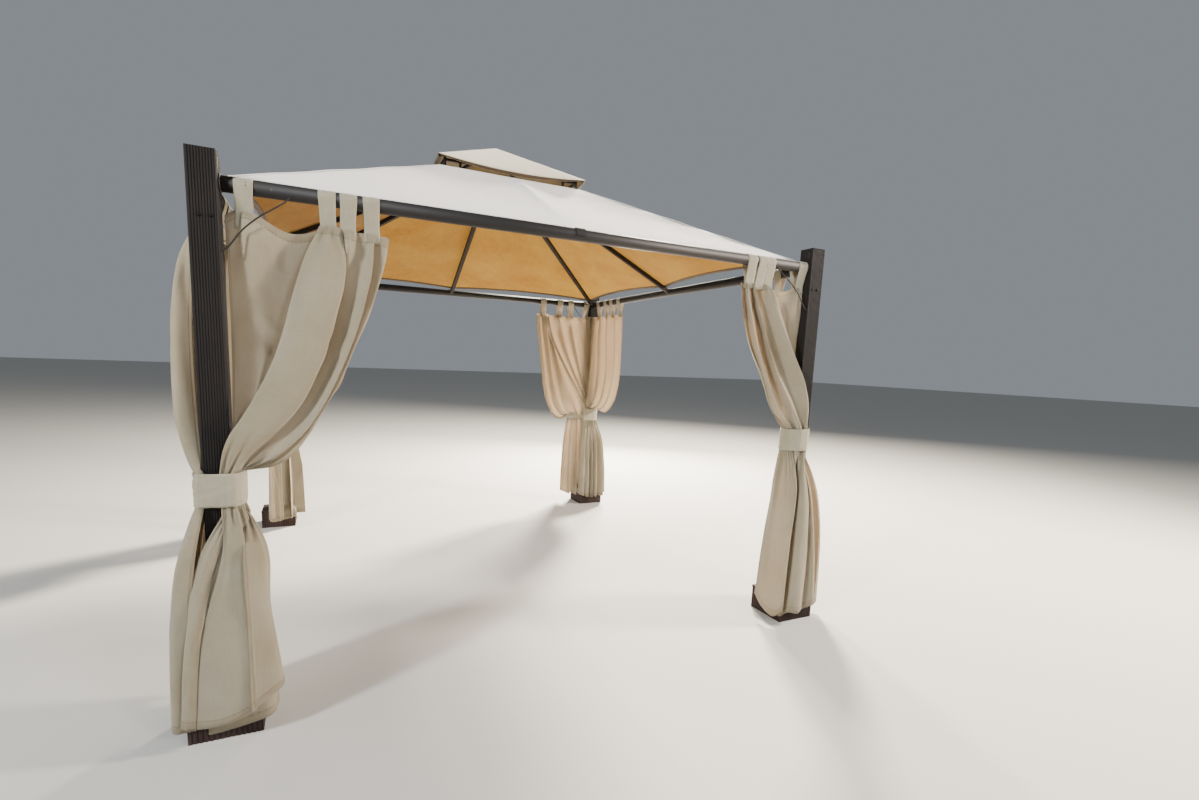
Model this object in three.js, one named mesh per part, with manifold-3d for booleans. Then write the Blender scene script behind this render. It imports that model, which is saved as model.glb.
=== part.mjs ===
// Garden cabana: four posts in ridged foot boxes, four round beams with tab-top curtains,
// and a hipped fabric roof with a raised vent cap. Millimetres, +Z up, origin on the ground
// at the middle of the plan. Front is -Y.
import * as THREE from 'three';
import { mergeVertices } from 'three/addons/utils/BufferGeometryUtils.js';
import Module from 'manifold-3d';

const wasm = await Module();
wasm.setup();

// Driving sizes
const SPAN = 3100; // between post centres
const POST = 100; // post width
const POST_WALL = 12;
const POST_HEIGHT = 2310;
const FOOT = 270; // width of the ballast box round a post
const FOOT_HEIGHT = 150;
const BEAM_RADIUS = 30;
const BEAM_WALL = 3;
const BEAM_Z = 2200; // beam axis
const RIB = 30; // square roof rib
const EAVE = 1500; // half the side of the roof cloth at its hem
const EAVE_Z = 2241;
const RING = 466; // half the side of the square ring under the vent
const RING_BAR = 30;
const RING_CLOTH_Z = 2753; // top of the roof cloth at the ring
const CLOTH = 5; // thickness of the roof cloth solids
const CAP = 492; // half the side of the vent cap
const CAP_Z = 2812; // cap corner
const APEX_Z = 3075;
const VENT_BAR = 14;
const SEAT = 0.3; // running gap where two pieces meet

const HALF = SPAN / 2;
const SLOPE = (RING_CLOTH_Z - EAVE_Z) / (EAVE - RING);
const RING_TOP = RING_CLOTH_Z - CLOTH - SEAT;

const cabana = new THREE.Group();

// Finishes
const finish = (color, roughness, metalness = 0) =>
  new THREE.MeshStandardMaterial({ color, roughness, metalness });
const compositeWood = finish(0x3a3431, 0.75);
const footBoards = finish(0x33241f, 0.8);
const paintedSteel = finish(0x4a4744, 0.45, 0.3);
const roofCloth = finish(0xe2e0dc, 0.9);
const curtainCloth = finish(0xc3b7a2, 0.9);

function add(name, geometry, material, place = {}) {
  const mesh = new THREE.Mesh(geometry, material.clone());
  mesh.name = name;
  mesh.position.set(place.x ?? 0, place.y ?? 0, place.z ?? 0);
  mesh.rotation.set(place.rx ?? 0, place.ry ?? 0, place.rz ?? 0);
  cabana.add(mesh);
}

// Solids to join and cut
function solidOf(geometry) {
  const bare = geometry.clone();
  bare.deleteAttribute('normal');
  bare.deleteAttribute('uv');
  const merged = mergeVertices(bare, 1e-4);
  return new wasm.Manifold(new wasm.Mesh({
    numProp: 3,
    vertProperties: Float32Array.from(merged.attributes.position.array),
    triVerts: Uint32Array.from(merged.index.array),
  }));
}

function geometryOf(solid) {
  const mesh = solid.getMesh();
  const geometry = new THREE.BufferGeometry();
  geometry.setAttribute('position', new THREE.BufferAttribute(mesh.vertProperties, 3));
  geometry.setIndex(new THREE.BufferAttribute(mesh.triVerts, 1));
  return geometry;
}

const box = (low, high) => {
  const size = high.map((value, i) => value - low[i]);
  const geometry = new THREE.BoxGeometry(...size);
  return geometry.translate(...low.map((value, i) => value + size[i] / 2));
};

const join = (geometries) => geometries.map(solidOf).reduce((all, next) => all.add(next));

// A closed body through rings of points, capped at both ends
function loft(rings) {
  const count = rings[0].length;
  const index = [];
  for (let r = 0; r < rings.length - 1; r += 1) {
    for (let i = 0; i < count; i += 1) {
      const j = (i + 1) % count;
      const [a, b, c, d] = [r * count + i, r * count + j, (r + 1) * count + j, (r + 1) * count + i];
      index.push(a, b, c, a, c, d);
    }
  }
  capEnd(rings[0], 0, false, index);
  capEnd(rings[rings.length - 1], (rings.length - 1) * count, true, index);
  const geometry = new THREE.BufferGeometry();
  const places = rings.flat().flatMap((p) => p.toArray());
  geometry.setAttribute('position', new THREE.Float32BufferAttribute(places, 3));
  geometry.setIndex(index);
  return volume(geometry) > 0 ? geometry : turnedOut(geometry);
}

// Closes a ring by a strip of faces between its first half and its second half
function capEnd(ring, first, along, index) {
  const last = ring.length - 1;
  for (let k = 0; k < ring.length / 2 - 1; k += 1) {
    for (const [a, b, c] of [[k, k + 1, last - k - 1], [k, last - k - 1, last - k]]) {
      index.push(first + a, first + (along ? b : c), first + (along ? c : b));
    }
  }
}

function volume(geometry) {
  const position = geometry.attributes.position;
  const corner = (k) => new THREE.Vector3().fromBufferAttribute(position, geometry.index.getX(k));
  let total = 0;
  for (let k = 0; k < geometry.index.count; k += 3) {
    total += corner(k).dot(corner(k + 1).cross(corner(k + 2))) / 6;
  }
  return total;
}

function turnedOut(geometry) {
  const index = Array.from(geometry.index.array);
  geometry.setIndex(index.map((_, k) => index[k - (k % 3) + 2 - (k % 3)]));
  return geometry;
}

// Extrudes an outline with an optional hole along +Z
function prism(outline, height, hole = null) {
  const shape = new THREE.Shape(outline);
  if (hole) shape.holes.push(new THREE.Path(hole));
  return new THREE.ExtrudeGeometry(shape, { depth: height, bevelEnabled: false, steps: 1 });
}

const outlineOf = (pairs) => pairs.map(([x, y]) => new THREE.Vector2(x, y));

function roundTube(radius, wall, length, sides) {
  const circle = (r) => outlineOf(Array.from({ length: sides }, (_, i) => {
    const angle = (2 * Math.PI * (i + 0.5)) / sides;
    return [r * Math.cos(angle), r * Math.sin(angle)];
  }));
  return prism(circle(radius), length, circle(radius - wall));
}

// Corners of the plan: signs of X and Y, in the order that the names are read
const CORNERS = [
  { name: 'front_left', x: -1, y: -1 },
  { name: 'front_right', x: 1, y: -1 },
  { name: 'back_right', x: 1, y: 1 },
  { name: 'back_left', x: -1, y: 1 },
];

// Posts: hollow square section with small edge chamfers, open below and closed at the top
const CHAMFER = 4;
function postOutline(half) {
  const c = half - CHAMFER;
  return outlineOf([
    [c, -half], [half, -c], [half, c], [c, half], [-c, half], [-half, c], [-half, -c], [-c, -half],
  ]);
}
const bore = POST / 2 - POST_WALL;
const postTube = solidOf(prism(postOutline(POST / 2), POST_HEIGHT))
  .subtract(solidOf(box([-bore, -bore, -1], [bore, bore, POST_HEIGHT - POST_WALL])));

// Foot boxes: a square block with the post standing through it
const socket = POST / 2 + SEAT;
const footBlock = solidOf(box([-FOOT / 2, -FOOT / 2, 0], [FOOT / 2, FOOT / 2, FOOT_HEIGHT]))
  .subtract(solidOf(box([-socket, -socket, -1], [socket, socket, FOOT_HEIGHT + 1])));

for (const corner of CORNERS) {
  const place = { x: corner.x * HALF, y: corner.y * HALF };
  add(`post_${corner.name}`, geometryOf(postTube), compositeWood, place);
  add(`foot_box_${corner.name}`, geometryOf(footBlock), footBoards, place);
}

// Beams: round tubes that butt against the posts' inner faces
const BEAM_SIDES = 20;
const beamLength = SPAN - POST - 2 * SEAT;
const beamStart = -beamLength / 2;
const quarter = Math.PI / 2;
const beamTube = roundTube(BEAM_RADIUS, BEAM_WALL, beamLength, BEAM_SIDES);
add('beam_front', beamTube, paintedSteel, { x: beamStart, y: -HALF, z: BEAM_Z, ry: quarter });
add('beam_back', beamTube, paintedSteel, { x: beamStart, y: HALF, z: BEAM_Z, ry: quarter });
add('beam_left', beamTube, paintedSteel, { x: -HALF, y: -beamStart, z: BEAM_Z, rx: quarter });
add('beam_right', beamTube, paintedSteel, { x: HALF, y: -beamStart, z: BEAM_Z, rx: quarter });

// Corner plates: brackets on the posts' inner edges, between the beams, under the hip ribs
const PLATE_REACH = 60;
const PLATE_OVERLAP = 12;
const PLATE_THICK = 6;
const postInner = HALF - POST / 2 - SEAT;
const plateLow = postInner - PLATE_REACH;
const plateHigh = postInner + PLATE_OVERLAP;
const cornerPlate = prism(outlineOf([
  [plateLow, plateLow], [plateHigh, plateLow], [plateHigh, postInner], [postInner, postInner],
  [postInner, plateHigh], [plateLow, plateHigh],
]), PLATE_THICK);
CORNERS.forEach((corner, i) => {
  const place = { z: BEAM_Z - PLATE_THICK / 2, rz: (i - 2) * quarter };
  add(`corner_plate_${corner.name}`, cornerPlate, paintedSteel, place);
});

// Roof ring: square frame of square bar under the vent
const ringOutline = (half) => outlineOf([[-half, -half], [half, -half], [half, half], [-half, half]]);
const ring = prism(ringOutline(RING), RING_BAR, ringOutline(RING - RING_BAR));
add('roof_ring', ring, paintedSteel, { z: RING_TOP - RING_BAR });

// Roof ribs: bars under the cloth's ridges, from the ring down to the beams.
// A rib runs in the +X direction; drop keeps its top edges clear of the cloth's ridge.
function ribBar(reachFactor, drop, width, start, end) {
  const slope = SLOPE / reachFactor;
  const top = (x) => RING_CLOTH_Z - CLOTH - SEAT - drop - (x - RING * reachFactor) * slope;
  const depth = width * Math.sqrt(1 + slope * slope);
  const side = outlineOf([
    [start, top(start) - depth], [end, top(end) - depth], [end, top(end)], [start, top(start)],
  ]);
  return prism(side, width).translate(0, 0, -width / 2).rotateX(quarter);
}

const ringKeepOut = solidOf(box(
  [-RING - SEAT, -RING - SEAT, RING_TOP - RING_BAR - 50],
  [RING + SEAT, RING + SEAT, RING_TOP + 50],
));

// Middle ribs: coped over the beam and joined to a half-round saddle
const SADDLE_THICK = 4;
const SADDLE_WIDTH = 50;
const MIDDLE_DROP = 4;
const saddle = roundTube(BEAM_RADIUS + SEAT + SADDLE_THICK, SADDLE_THICK, SADDLE_WIDTH, BEAM_SIDES)
  .translate(0, 0, -SADDLE_WIDTH / 2).rotateX(quarter).translate(HALF, 0, BEAM_Z);
const upperHalf = solidOf(box([0, -HALF, BEAM_Z - 8], [SPAN, HALF, BEAM_Z + 200]));
const beamKeepOut = solidOf(
  prism(outlineOf(Array.from({ length: BEAM_SIDES }, (_, i) => {
    const angle = (2 * Math.PI * (i + 0.5)) / BEAM_SIDES;
    return [(BEAM_RADIUS + SEAT) * Math.cos(angle), (BEAM_RADIUS + SEAT) * Math.sin(angle)];
  })), SPAN).translate(0, 0, -HALF).rotateX(quarter).translate(HALF, 0, BEAM_Z),
);
const middleRib = solidOf(ribBar(1, MIDDLE_DROP, RIB, RING - 40, HALF))
  .subtract(ringKeepOut)
  .add(solidOf(saddle).intersect(upperHalf))
  .subtract(beamKeepOut);
['right', 'back', 'left', 'front'].forEach((side, i) => {
  add(`middle_rib_${side}`, geometryOf(middleRib), paintedSteel, { rz: i * quarter });
});

// Hip ribs: from the ring's corners down onto the corner plates
const HIP_DROP = 9;
const HIP_END = EAVE * Math.SQRT2;
const plateKeepOut = solidOf(box(
  [0, -200, BEAM_Z - 200],
  [SPAN, 200, BEAM_Z + PLATE_THICK / 2 + SEAT],
));
const hipRib = solidOf(ribBar(Math.SQRT2, HIP_DROP, RIB, RING * Math.SQRT2 - RIB, HIP_END - RIB / 2))
  .subtract(solidOf(geometryOf(ringKeepOut).rotateZ(-quarter / 2)))
  .subtract(plateKeepOut);
CORNERS.forEach((corner, i) => {
  add(`hip_rib_${corner.name}`, geometryOf(hipRib), paintedSteel, { rz: quarter / 2 + (i - 2) * quarter });
});

// Roof cloth: four hipped slopes sewn together along the hips, sagging a little between the
// ribs, with a square opening over the ring and a hem cut in a shallow curve between its fixings
const SAG = 22;
const HEM_CURVE = 65;
const CLOTH_LIP = 14;
const ROWS = 7;
const COLUMNS = 4; // in each half of a side

function roofPoint(side, across, down, depth) {
  const along = Math.abs(across);
  const bow = 4 * along * (1 - along);
  const reach = RING + (EAVE - HEM_CURVE * bow - RING) * down;
  const sag = SAG * Math.sin(Math.PI * along) * Math.sin(Math.PI * Math.min(down + 0.12, 1) * 0.85);
  const height = RING_CLOTH_Z - SLOPE * (reach - RING) - sag * Math.min(1, down * 6) - depth;
  return turned(side, reach, across * reach, height);
}

function turned(side, out, along, height) {
  return new THREE.Vector3(out, along, height).applyAxisAngle(new THREE.Vector3(0, 0, 1), side * quarter);
}

function roofStation(side, across) {
  const lip = (depth) => turned(side, RING - CLOTH_LIP, across * (RING - CLOTH_LIP), RING_CLOTH_Z - depth);
  const run = Array.from({ length: ROWS + 1 }, (_, i) => i / ROWS);
  const top = run.map((down) => roofPoint(side, across, down, 0));
  const under = run.map((down) => roofPoint(side, across, down, CLOTH)).reverse();
  return [lip(0), ...top, ...under, lip(CLOTH)];
}

// Each slope stops just short of the hips, where it meets the next one
const HIP_SEAM = 0.0005;
['right', 'back', 'left', 'front'].forEach((name, side) => {
  const columns = Array.from({ length: 2 * COLUMNS + 1 }, (_, i) => i / COLUMNS - 1);
  const stations = columns.map((across) => roofStation(side, across * (1 - HIP_SEAM)));
  add(`roof_slope_${name}`, loft(stations), roofCloth);
});

// Vent frame: corner uprights on the ring, small stays, a rail, and four ribs up to the apex
const VENT_LINE = RING - RING_BAR / 2 - VENT_BAR / 2;
const RAIL_Z = 2786;
const STAY_AT = 348;
const CAP_SLOPE = (APEX_Z - CAP_Z) / CAP;
const CAP_RIB = 16;
const CAP_DROP = 4.2;
const halfBar = VENT_BAR / 2;
const ventFoot = RING_TOP + SEAT;
const upright = (x, y, top) => box([x - halfBar, y - halfBar, ventFoot], [x + halfBar, y + halfBar, top]);
const rail = prism(ringOutline(VENT_LINE + halfBar), VENT_BAR, ringOutline(VENT_LINE - halfBar))
  .translate(0, 0, RAIL_Z);
const capRibTop = (x) => APEX_Z - CLOTH - SEAT - CAP_DROP - (x * CAP_SLOPE) / Math.SQRT2;
const capRibEnd = (CAP - 10) * Math.SQRT2;
const capRibSide = outlineOf([
  [0, capRibTop(0) - CAP_RIB], [capRibEnd, capRibTop(capRibEnd) - CAP_RIB],
  [capRibEnd, capRibTop(capRibEnd)], [0, capRibTop(0)],
]);
const ventPieces = [rail];
for (let side = 0; side < 4; side += 1) {
  const turn = (geometry) => geometry.rotateZ(side * quarter);
  ventPieces.push(turn(upright(VENT_LINE, VENT_LINE, CAP_Z)));
  ventPieces.push(turn(upright(VENT_LINE, STAY_AT, RAIL_Z + 2)));
  ventPieces.push(turn(upright(VENT_LINE, -STAY_AT, RAIL_Z + 2)));
  const capRib = prism(capRibSide, CAP_RIB).translate(0, 0, -CAP_RIB / 2).rotateX(quarter);
  ventPieces.push(turn(capRib.rotateZ(quarter / 2)));
}
add('vent_frame', geometryOf(join(ventPieces)), paintedSteel);

// Vent cap: a small pyramid of cloth whose hem droops between its corners
const CAP_DROOP = 25;
const CAP_COLUMNS = 6; // in each side
const CAP_TIP = 6;
const CAP_REACH = [CAP_TIP, 120, 250, 380, CAP];
function capLoop(reach, depth) {
  const loop = [];
  for (let side = 0; side < 4; side += 1) {
    for (let i = 0; i < CAP_COLUMNS; i += 1) {
      const across = (2 * i) / CAP_COLUMNS - 1;
      const droop = CAP_DROOP * (1 - across * across) * (reach / CAP) ** 2;
      const out = reach > CAP_TIP ? reach : reach / Math.sqrt(1 + across * across);
      loop.push(turned(side, out, across * out, APEX_Z - CAP_SLOPE * reach - droop - depth));
    }
  }
  return loop;
}
const capRings = [
  ...CAP_REACH.map((reach) => capLoop(reach, 0)),
  ...[...CAP_REACH].reverse().map((reach) => capLoop(reach, CLOTH)),
];
add('vent_cap_canopy', loft(capRings), roofCloth);

// Curtains. Each hangs from tabs on one beam beside one post, and is worked out in that
// corner's own frame: a runs along the beam away from the post, o outwards from the cabana.
const CURTAIN_TOP = 2070;
const CURTAIN_HALF = 16; // half the depth of the pleated cloth
const TIE_HEIGHT = 140;
const TAB_WIDTH = 66;
const TAB_THICK = 3.5;
const CURTAIN_HEM = 75;
const ACROSS = 12;
const UPPER_ROWS = 8;
const LOWER_ROWS = 5;
const STRAP_HEIGHT = 45;
const FREE_HALF = 28;
const FREE_TIE_SPAN = 62;
const FREE_SKIRT_SPAN = 115;

// Where the gathered cloth lies at the tie, and at the hem, as points (a, o) from the post
const TIED_TO_POST = [[20, 62], [48, 63], [70, 56], [77, 30], [78, -8], [78, -42]];
const TIED_ACROSS_POST = [[-42, 68], [4, 75], [48, 77], [80, 64], [87, 22], [86, -20]];
const SKIRT_ROUND_POST = [[-114, 148], [20, 152], [110, 150], [154, 142], [174, 106], [182, -60]];
const SKIRT_ACROSS_POST = [[-118, 152], [20, 156], [110, 151], [154, 141], [172, 100], [176, -50]];
const WIDE_SKIRT = [[-114, 172], [20, 184], [120, 176], [170, 150], [188, 100], [194, -60]];

// How a curtain's far edge swings in to the tie: pulled tight, or hanging loose in a belly
const TIGHT = { down: 375, out: 190, low: 23 };
const LOOSE = { down: 620, out: 540, low: 80 };
const BELLY = { down: 570, out: 293, low: 175 };

const CURTAINS = [
  { corner: 0, beam: 'front', far: 655, tie: 1022, swing: TIGHT, billow: 0, tabs: [126, 426, 500, 594] },
  { corner: 0, beam: 'left', far: 600, tie: 1022, swing: TIGHT, billow: 130, tabs: [110, 330, 430, 545] },
  { corner: 1, beam: 'front', far: 545, tie: 1155, swing: TIGHT, billow: 0, tabs: [90, 330, 410, 490] },
  { corner: 1, beam: 'right', far: 560, tie: 1155, swing: TIGHT, billow: 40, tabs: [110, 260, 390, 500] },
  { corner: 2, beam: 'right', far: 700, tie: 1005, swing: LOOSE, billow: 20, tabs: [150, 290, 400, 560] },
  { corner: 2, beam: 'back', far: 640, tie: 975, swing: BELLY, billow: 0, tabs: [110, 270, 415, 560] },
  { corner: 3, beam: 'back', far: 640, tie: 1005, swing: LOOSE, billow: 0, tabs: [110, 270, 415, 560] },
  { corner: 3, beam: 'left', far: 640, tie: 975, swing: BELLY, billow: 20, tabs: [110, 270, 415, 560] },
];
const held = { free: 0, tieHeight: TIE_HEIGHT, tied: TIED_TO_POST, skirt: SKIRT_ROUND_POST };
CURTAINS.forEach((curtain) => Object.assign(curtain, held));
Object.assign(CURTAINS[2], { tied: TIED_ACROSS_POST, skirt: SKIRT_ACROSS_POST });
Object.assign(CURTAINS[3], { skirt: WIDE_SKIRT });
// These two hang clear of their posts; free is the middle of the gathered bundle
Object.assign(CURTAINS[5], { free: 205, tieHeight: STRAP_HEIGHT + 30 });
Object.assign(CURTAINS[7], { free: 240, tieHeight: STRAP_HEIGHT + 30 });
const nameOf = (curtain) => `curtain_${CORNERS[curtain.corner].name}_on_${curtain.beam}_beam`;
const alongX = (curtain) => curtain.beam === 'front' || curtain.beam === 'back';

// Turns (a, o, z) at a corner into the cabana's frame
function inCabana(curtain, a, o, z) {
  const corner = CORNERS[curtain.corner];
  const x = alongX(curtain) ? -corner.x * a : corner.x * o;
  const y = alongX(curtain) ? corner.y * o : -corner.y * a;
  return new THREE.Vector3(corner.x * HALF + x, corner.y * HALF + y, z);
}

const smoothPath = (points) => new THREE.CatmullRomCurve3(points.map(([a, o]) => new THREE.Vector3(a, o, 0)));
const straightPath = (middle, span) => smoothPath([[middle - span, 4], [middle, -4], [middle + span, 4]]);

// The middle of the cloth at share s of its width and row r of its height
function curtainRows(curtain) {
  const { free, swing } = curtain;
  const tiePath = free ? straightPath(free, FREE_TIE_SPAN) : smoothPath(curtain.tied);
  const hemPath = free ? straightPath(free + 60, FREE_SKIRT_SPAN) : smoothPath(curtain.skirt);
  const tieTop = curtain.tie + curtain.tieHeight / 2;
  const tieBottom = curtain.tie - curtain.tieHeight / 2;
  const rows = [];
  const row = (place) => rows.push(Array.from({ length: ACROSS + 1 }, (_, i) => place(i / ACROSS)));
  for (let r = 0; r < UPPER_ROWS; r += 1) {
    const t = r / UPPER_ROWS;
    row((s) => {
      const end = tiePath.getPointAt(s);
      const start = new THREE.Vector3(62 + (curtain.far - 62) * s, 0, CURTAIN_TOP);
      const wide = 0.25 + 0.75 * s;
      const lowest = tieTop + 260 * (1 - wide) - swing.low;
      const curve = new THREE.CubicBezierCurve3(
        start,
        new THREE.Vector3(start.x - 20 * s, 0.35 * end.y * (1 - s), CURTAIN_TOP - swing.down),
        new THREE.Vector3(Math.max(end.x, 70) + swing.out * s, end.y + 8, lowest),
        new THREE.Vector3(end.x, end.y, tieTop),
      );
      const p = curve.getPoint(t);
      p.y += curtain.billow * Math.sin(Math.PI * Math.sqrt(t)) * Math.sin(Math.PI * Math.min(0.15 + s, 1));
      return offPost(p, halfDepth(curtain, s, r));
    });
  }
  for (const z of [tieTop, tieBottom]) {
    row((s) => tiePath.getPointAt(s).setZ(z));
  }
  for (let r = 1; r <= LOWER_ROWS; r += 1) {
    const t = r / LOWER_ROWS;
    const spread = 1 - (1 - t) ** 3.6;
    const z = tieBottom + (CURTAIN_HEM - tieBottom) * t;
    row((s) => tiePath.getPointAt(s).lerp(hemPath.getPointAt(s), spread).setZ(z));
  }
  return rows;
}

// Half the depth of the cloth: full over the span, thin where its edge crosses the post
const EDGE_HALF = 9;
const BUNDLE_HALF = 18;
function halfDepth(curtain, s, row) {
  const tied = curtain.free ? FREE_HALF : s < 0.3 ? EDGE_HALF : BUNDLE_HALF;
  if (row > UPPER_ROWS + 1) return curtain.free ? FREE_HALF : EDGE_HALF;
  return THREE.MathUtils.lerp(CURTAIN_HALF, tied, Math.min(row / UPPER_ROWS, 1));
}

// Keeps the cloth clear of the post's faces, and a little more at its edges
function offPost(p, half) {
  const away = Math.max(Math.abs(p.x), Math.abs(p.y));
  const beside = Math.min(Math.abs(p.x), Math.abs(p.y));
  const clear = POST / 2 + half + 3 + 8 * (beside / away) ** 2;
  if (away < clear) p.set((p.x * clear) / away, (p.y * clear) / away, p.z);
  return p;
}

function ribbon(curtain, line, row) {
  const near = [];
  const away = [];
  line.forEach((p, i) => {
    const before = line[Math.max(i - 1, 0)];
    const after = line[Math.min(i + 1, line.length - 1)];
    const across = new THREE.Vector2(after.x - before.x, after.y - before.y).normalize();
    const half = halfDepth(curtain, i / ACROSS, row);
    near.push(inCabana(curtain, p.x - across.y * half, p.y + across.x * half, p.z));
    away.unshift(inCabana(curtain, p.x + across.y * half, p.y - across.x * half, p.z));
  });
  return [...near, ...away];
}

// A tab: a strip that runs over the beam and down to the curtain's top edge
const TAB_STEM = 60;
const TAB_ARC = 10;
const TAB_UNDER = 0.3; // how far round the beam's underside a tab clings, in radians
const TAB_STEP = (Math.PI + 2 * TAB_UNDER) / TAB_ARC;
function tabOutline(radius, stem, foot) {
  const points = [];
  for (let i = 0; i <= TAB_ARC; i += 1) {
    const angle = TAB_STEP * i - TAB_UNDER;
    points.push([radius * Math.cos(angle), radius * Math.sin(angle)]);
  }
  points.push([-stem, foot], [stem, foot]);
  return points;
}
function tab(curtain, middle) {
  const stretch = 1 / Math.cos(TAB_STEP / 2);
  const inner = (BEAM_RADIUS + SEAT) * stretch;
  const foot = CURTAIN_TOP - TAB_STEM / 2 - BEAM_Z;
  const outer = tabOutline(inner + TAB_THICK, 10, foot);
  const hole = tabOutline(inner, 3, foot + TAB_STEM);
  const geometry = prism(outlineOf(outer), TAB_WIDTH, outlineOf(hole));
  const position = geometry.attributes.position;
  for (let k = 0; k < position.count; k += 1) {
    const a = middle - TAB_WIDTH / 2 + position.getZ(k);
    const p = inCabana(curtain, a, position.getX(k), BEAM_Z + position.getY(k));
    position.setXYZ(k, p.x, p.y, p.z);
  }
  return facingOut(geometry);
}

function facingOut(geometry) {
  const bare = geometry.clone();
  bare.deleteAttribute('normal');
  bare.deleteAttribute('uv');
  const merged = mergeVertices(bare, 1e-4);
  return volume(merged) > 0 ? merged : turnedOut(merged);
}

const gathered = new Map();
for (const curtain of CURTAINS) {
  const rows = curtainRows(curtain);
  const rings = rows.map((line, r) => ribbon(curtain, line, r));
  const cloth = join([loft(rings), ...curtain.tabs.map((middle) => tab(curtain, middle))]);
  add(nameOf(curtain), geometryOf(cloth), curtainCloth);
  gathered.set(curtain, rings[UPPER_ROWS]);
}

// Ties: a band pulled taut round what it holds
function tautOutline(points) {
  const sorted = [...points].sort((p, q) => p.x - q.x || p.y - q.y);
  const turn = (o, p, q) => (p.x - o.x) * (q.y - o.y) - (p.y - o.y) * (q.x - o.x);
  const chain = (list) => {
    const kept = [];
    for (const p of list) {
      while (kept.length > 1 && turn(kept[kept.length - 2], kept[kept.length - 1], p) <= 1) kept.pop();
      kept.push(p);
    }
    return kept.slice(0, -1);
  };
  return [...chain(sorted), ...chain([...sorted].reverse())];
}

function grown(outline, distance) {
  return outline.map((p, i) => {
    const before = outline[(i + outline.length - 1) % outline.length];
    const after = outline[(i + 1) % outline.length];
    const normalOf = (from, to) => new THREE.Vector2(to.y - from.y, from.x - to.x).normalize();
    const normal = normalOf(before, p).add(normalOf(p, after));
    const reach = (2 * distance) / normal.lengthSq();
    return new THREE.Vector2(p.x + normal.x * reach, p.y + normal.y * reach);
  });
}

const BAND_THICK = 4;
const BAND_HEIGHT = TIE_HEIGHT - 10;
function band(outline, height, middle) {
  const loop = prism(grown(outline, SEAT + BAND_THICK), height, grown(outline, SEAT));
  return loop.translate(0, 0, middle - height / 2);
}

// A band round the post and the cloth gathered against it
CORNERS.forEach((corner, i) => {
  const tied = CURTAINS.filter((curtain) => curtain.corner === i && !curtain.free);
  const bundle = tied.flatMap((curtain) => gathered.get(curtain));
  const post = postOutline(POST / 2).map((p) => ({ x: p.x + corner.x * HALF, y: p.y + corner.y * HALF }));
  add(`tie_${corner.name}`, band(tautOutline([...post, ...bundle]), BAND_HEIGHT, tied[0].tie), curtainCloth);
});

// A strap round each bundle that hangs free of its post, running back to the post's band
for (const curtain of CURTAINS.filter((each) => each.free)) {
  const loop = band(tautOutline(gathered.get(curtain)), STRAP_HEIGHT, curtain.tie);
  const near = POST / 2 + BAND_THICK + 2 * SEAT;
  const far = curtain.free - FREE_TIE_SPAN - SEAT - BAND_THICK / 2;
  const corners = [[near, -2], [far, 2]].map(([a, o]) => inCabana(curtain, a, o, 0));
  const [xs, ys] = [corners.map((p) => p.x), corners.map((p) => p.y)];
  const run = box(
    [Math.min(...xs), Math.min(...ys), curtain.tie - STRAP_HEIGHT / 2],
    [Math.max(...xs), Math.max(...ys), curtain.tie + STRAP_HEIGHT / 2],
  );
  add(`strap_${CORNERS[curtain.corner].name}`, geometryOf(join([loop, run])), curtainCloth);
}

// Corner stays: bowed rods from the posts' inner faces up to the front and back beams.
// They end between two tabs, which are closer to the posts at the back.
const STAY_RADIUS = 3;
const STAY_STEPS = 20;
const STAY_NEAR = 62; // where a stay leaves its post
const STAY_SHARE = { front: 1, back: 0.7 };
const STAY_ROUTE = [
  [38, 44, 1942], [STAY_NEAR, 43, 1950], [90, 41, 1985], [121, 39, 2030],
  [177, 35, 2086], [235, 30, 2130], [272, 24, 2160], [292, 16, 2190],
];
const octagon = outlineOf(Array.from({ length: 8 }, (_, i) => {
  const angle = (Math.PI * i) / 4;
  return [STAY_RADIUS * Math.cos(angle), STAY_RADIUS * Math.sin(angle)];
}));
CORNERS.forEach((corner, i) => {
  const beside = { corner: i, beam: i < 2 ? 'front' : 'back' };
  const reach = (a) => (a > STAY_NEAR ? STAY_NEAR + (a - STAY_NEAR) * STAY_SHARE[beside.beam] : a);
  const places = STAY_ROUTE.map(([a, o, z]) => inCabana(beside, reach(a), o, z));
  const route = new THREE.CatmullRomCurve3(places);
  const along = { steps: STAY_STEPS, bevelEnabled: false, extrudePath: route };
  const rod = new THREE.ExtrudeGeometry(new THREE.Shape(octagon), along);
  const post = box([-socket, -socket, 0], [socket, socket, POST_HEIGHT]);
  const beam = geometryOf(beamKeepOut).rotateZ(corner.y * quarter);
  const stay = solidOf(rod)
    .subtract(solidOf(post.translate(corner.x * HALF, corner.y * HALF, 0)))
    .subtract(solidOf(beam));
  add(`corner_stay_${corner.name}`, geometryOf(stay), paintedSteel);
});

export default cabana;
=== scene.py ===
# Garden cabana: the looks of its posts, tubes, roof cloth and curtains. Metres, +Z up, front is -Y.
import math

import bmesh
import bpy
import numpy as np
from mathutils import Matrix, Vector, geometry, noise


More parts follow.
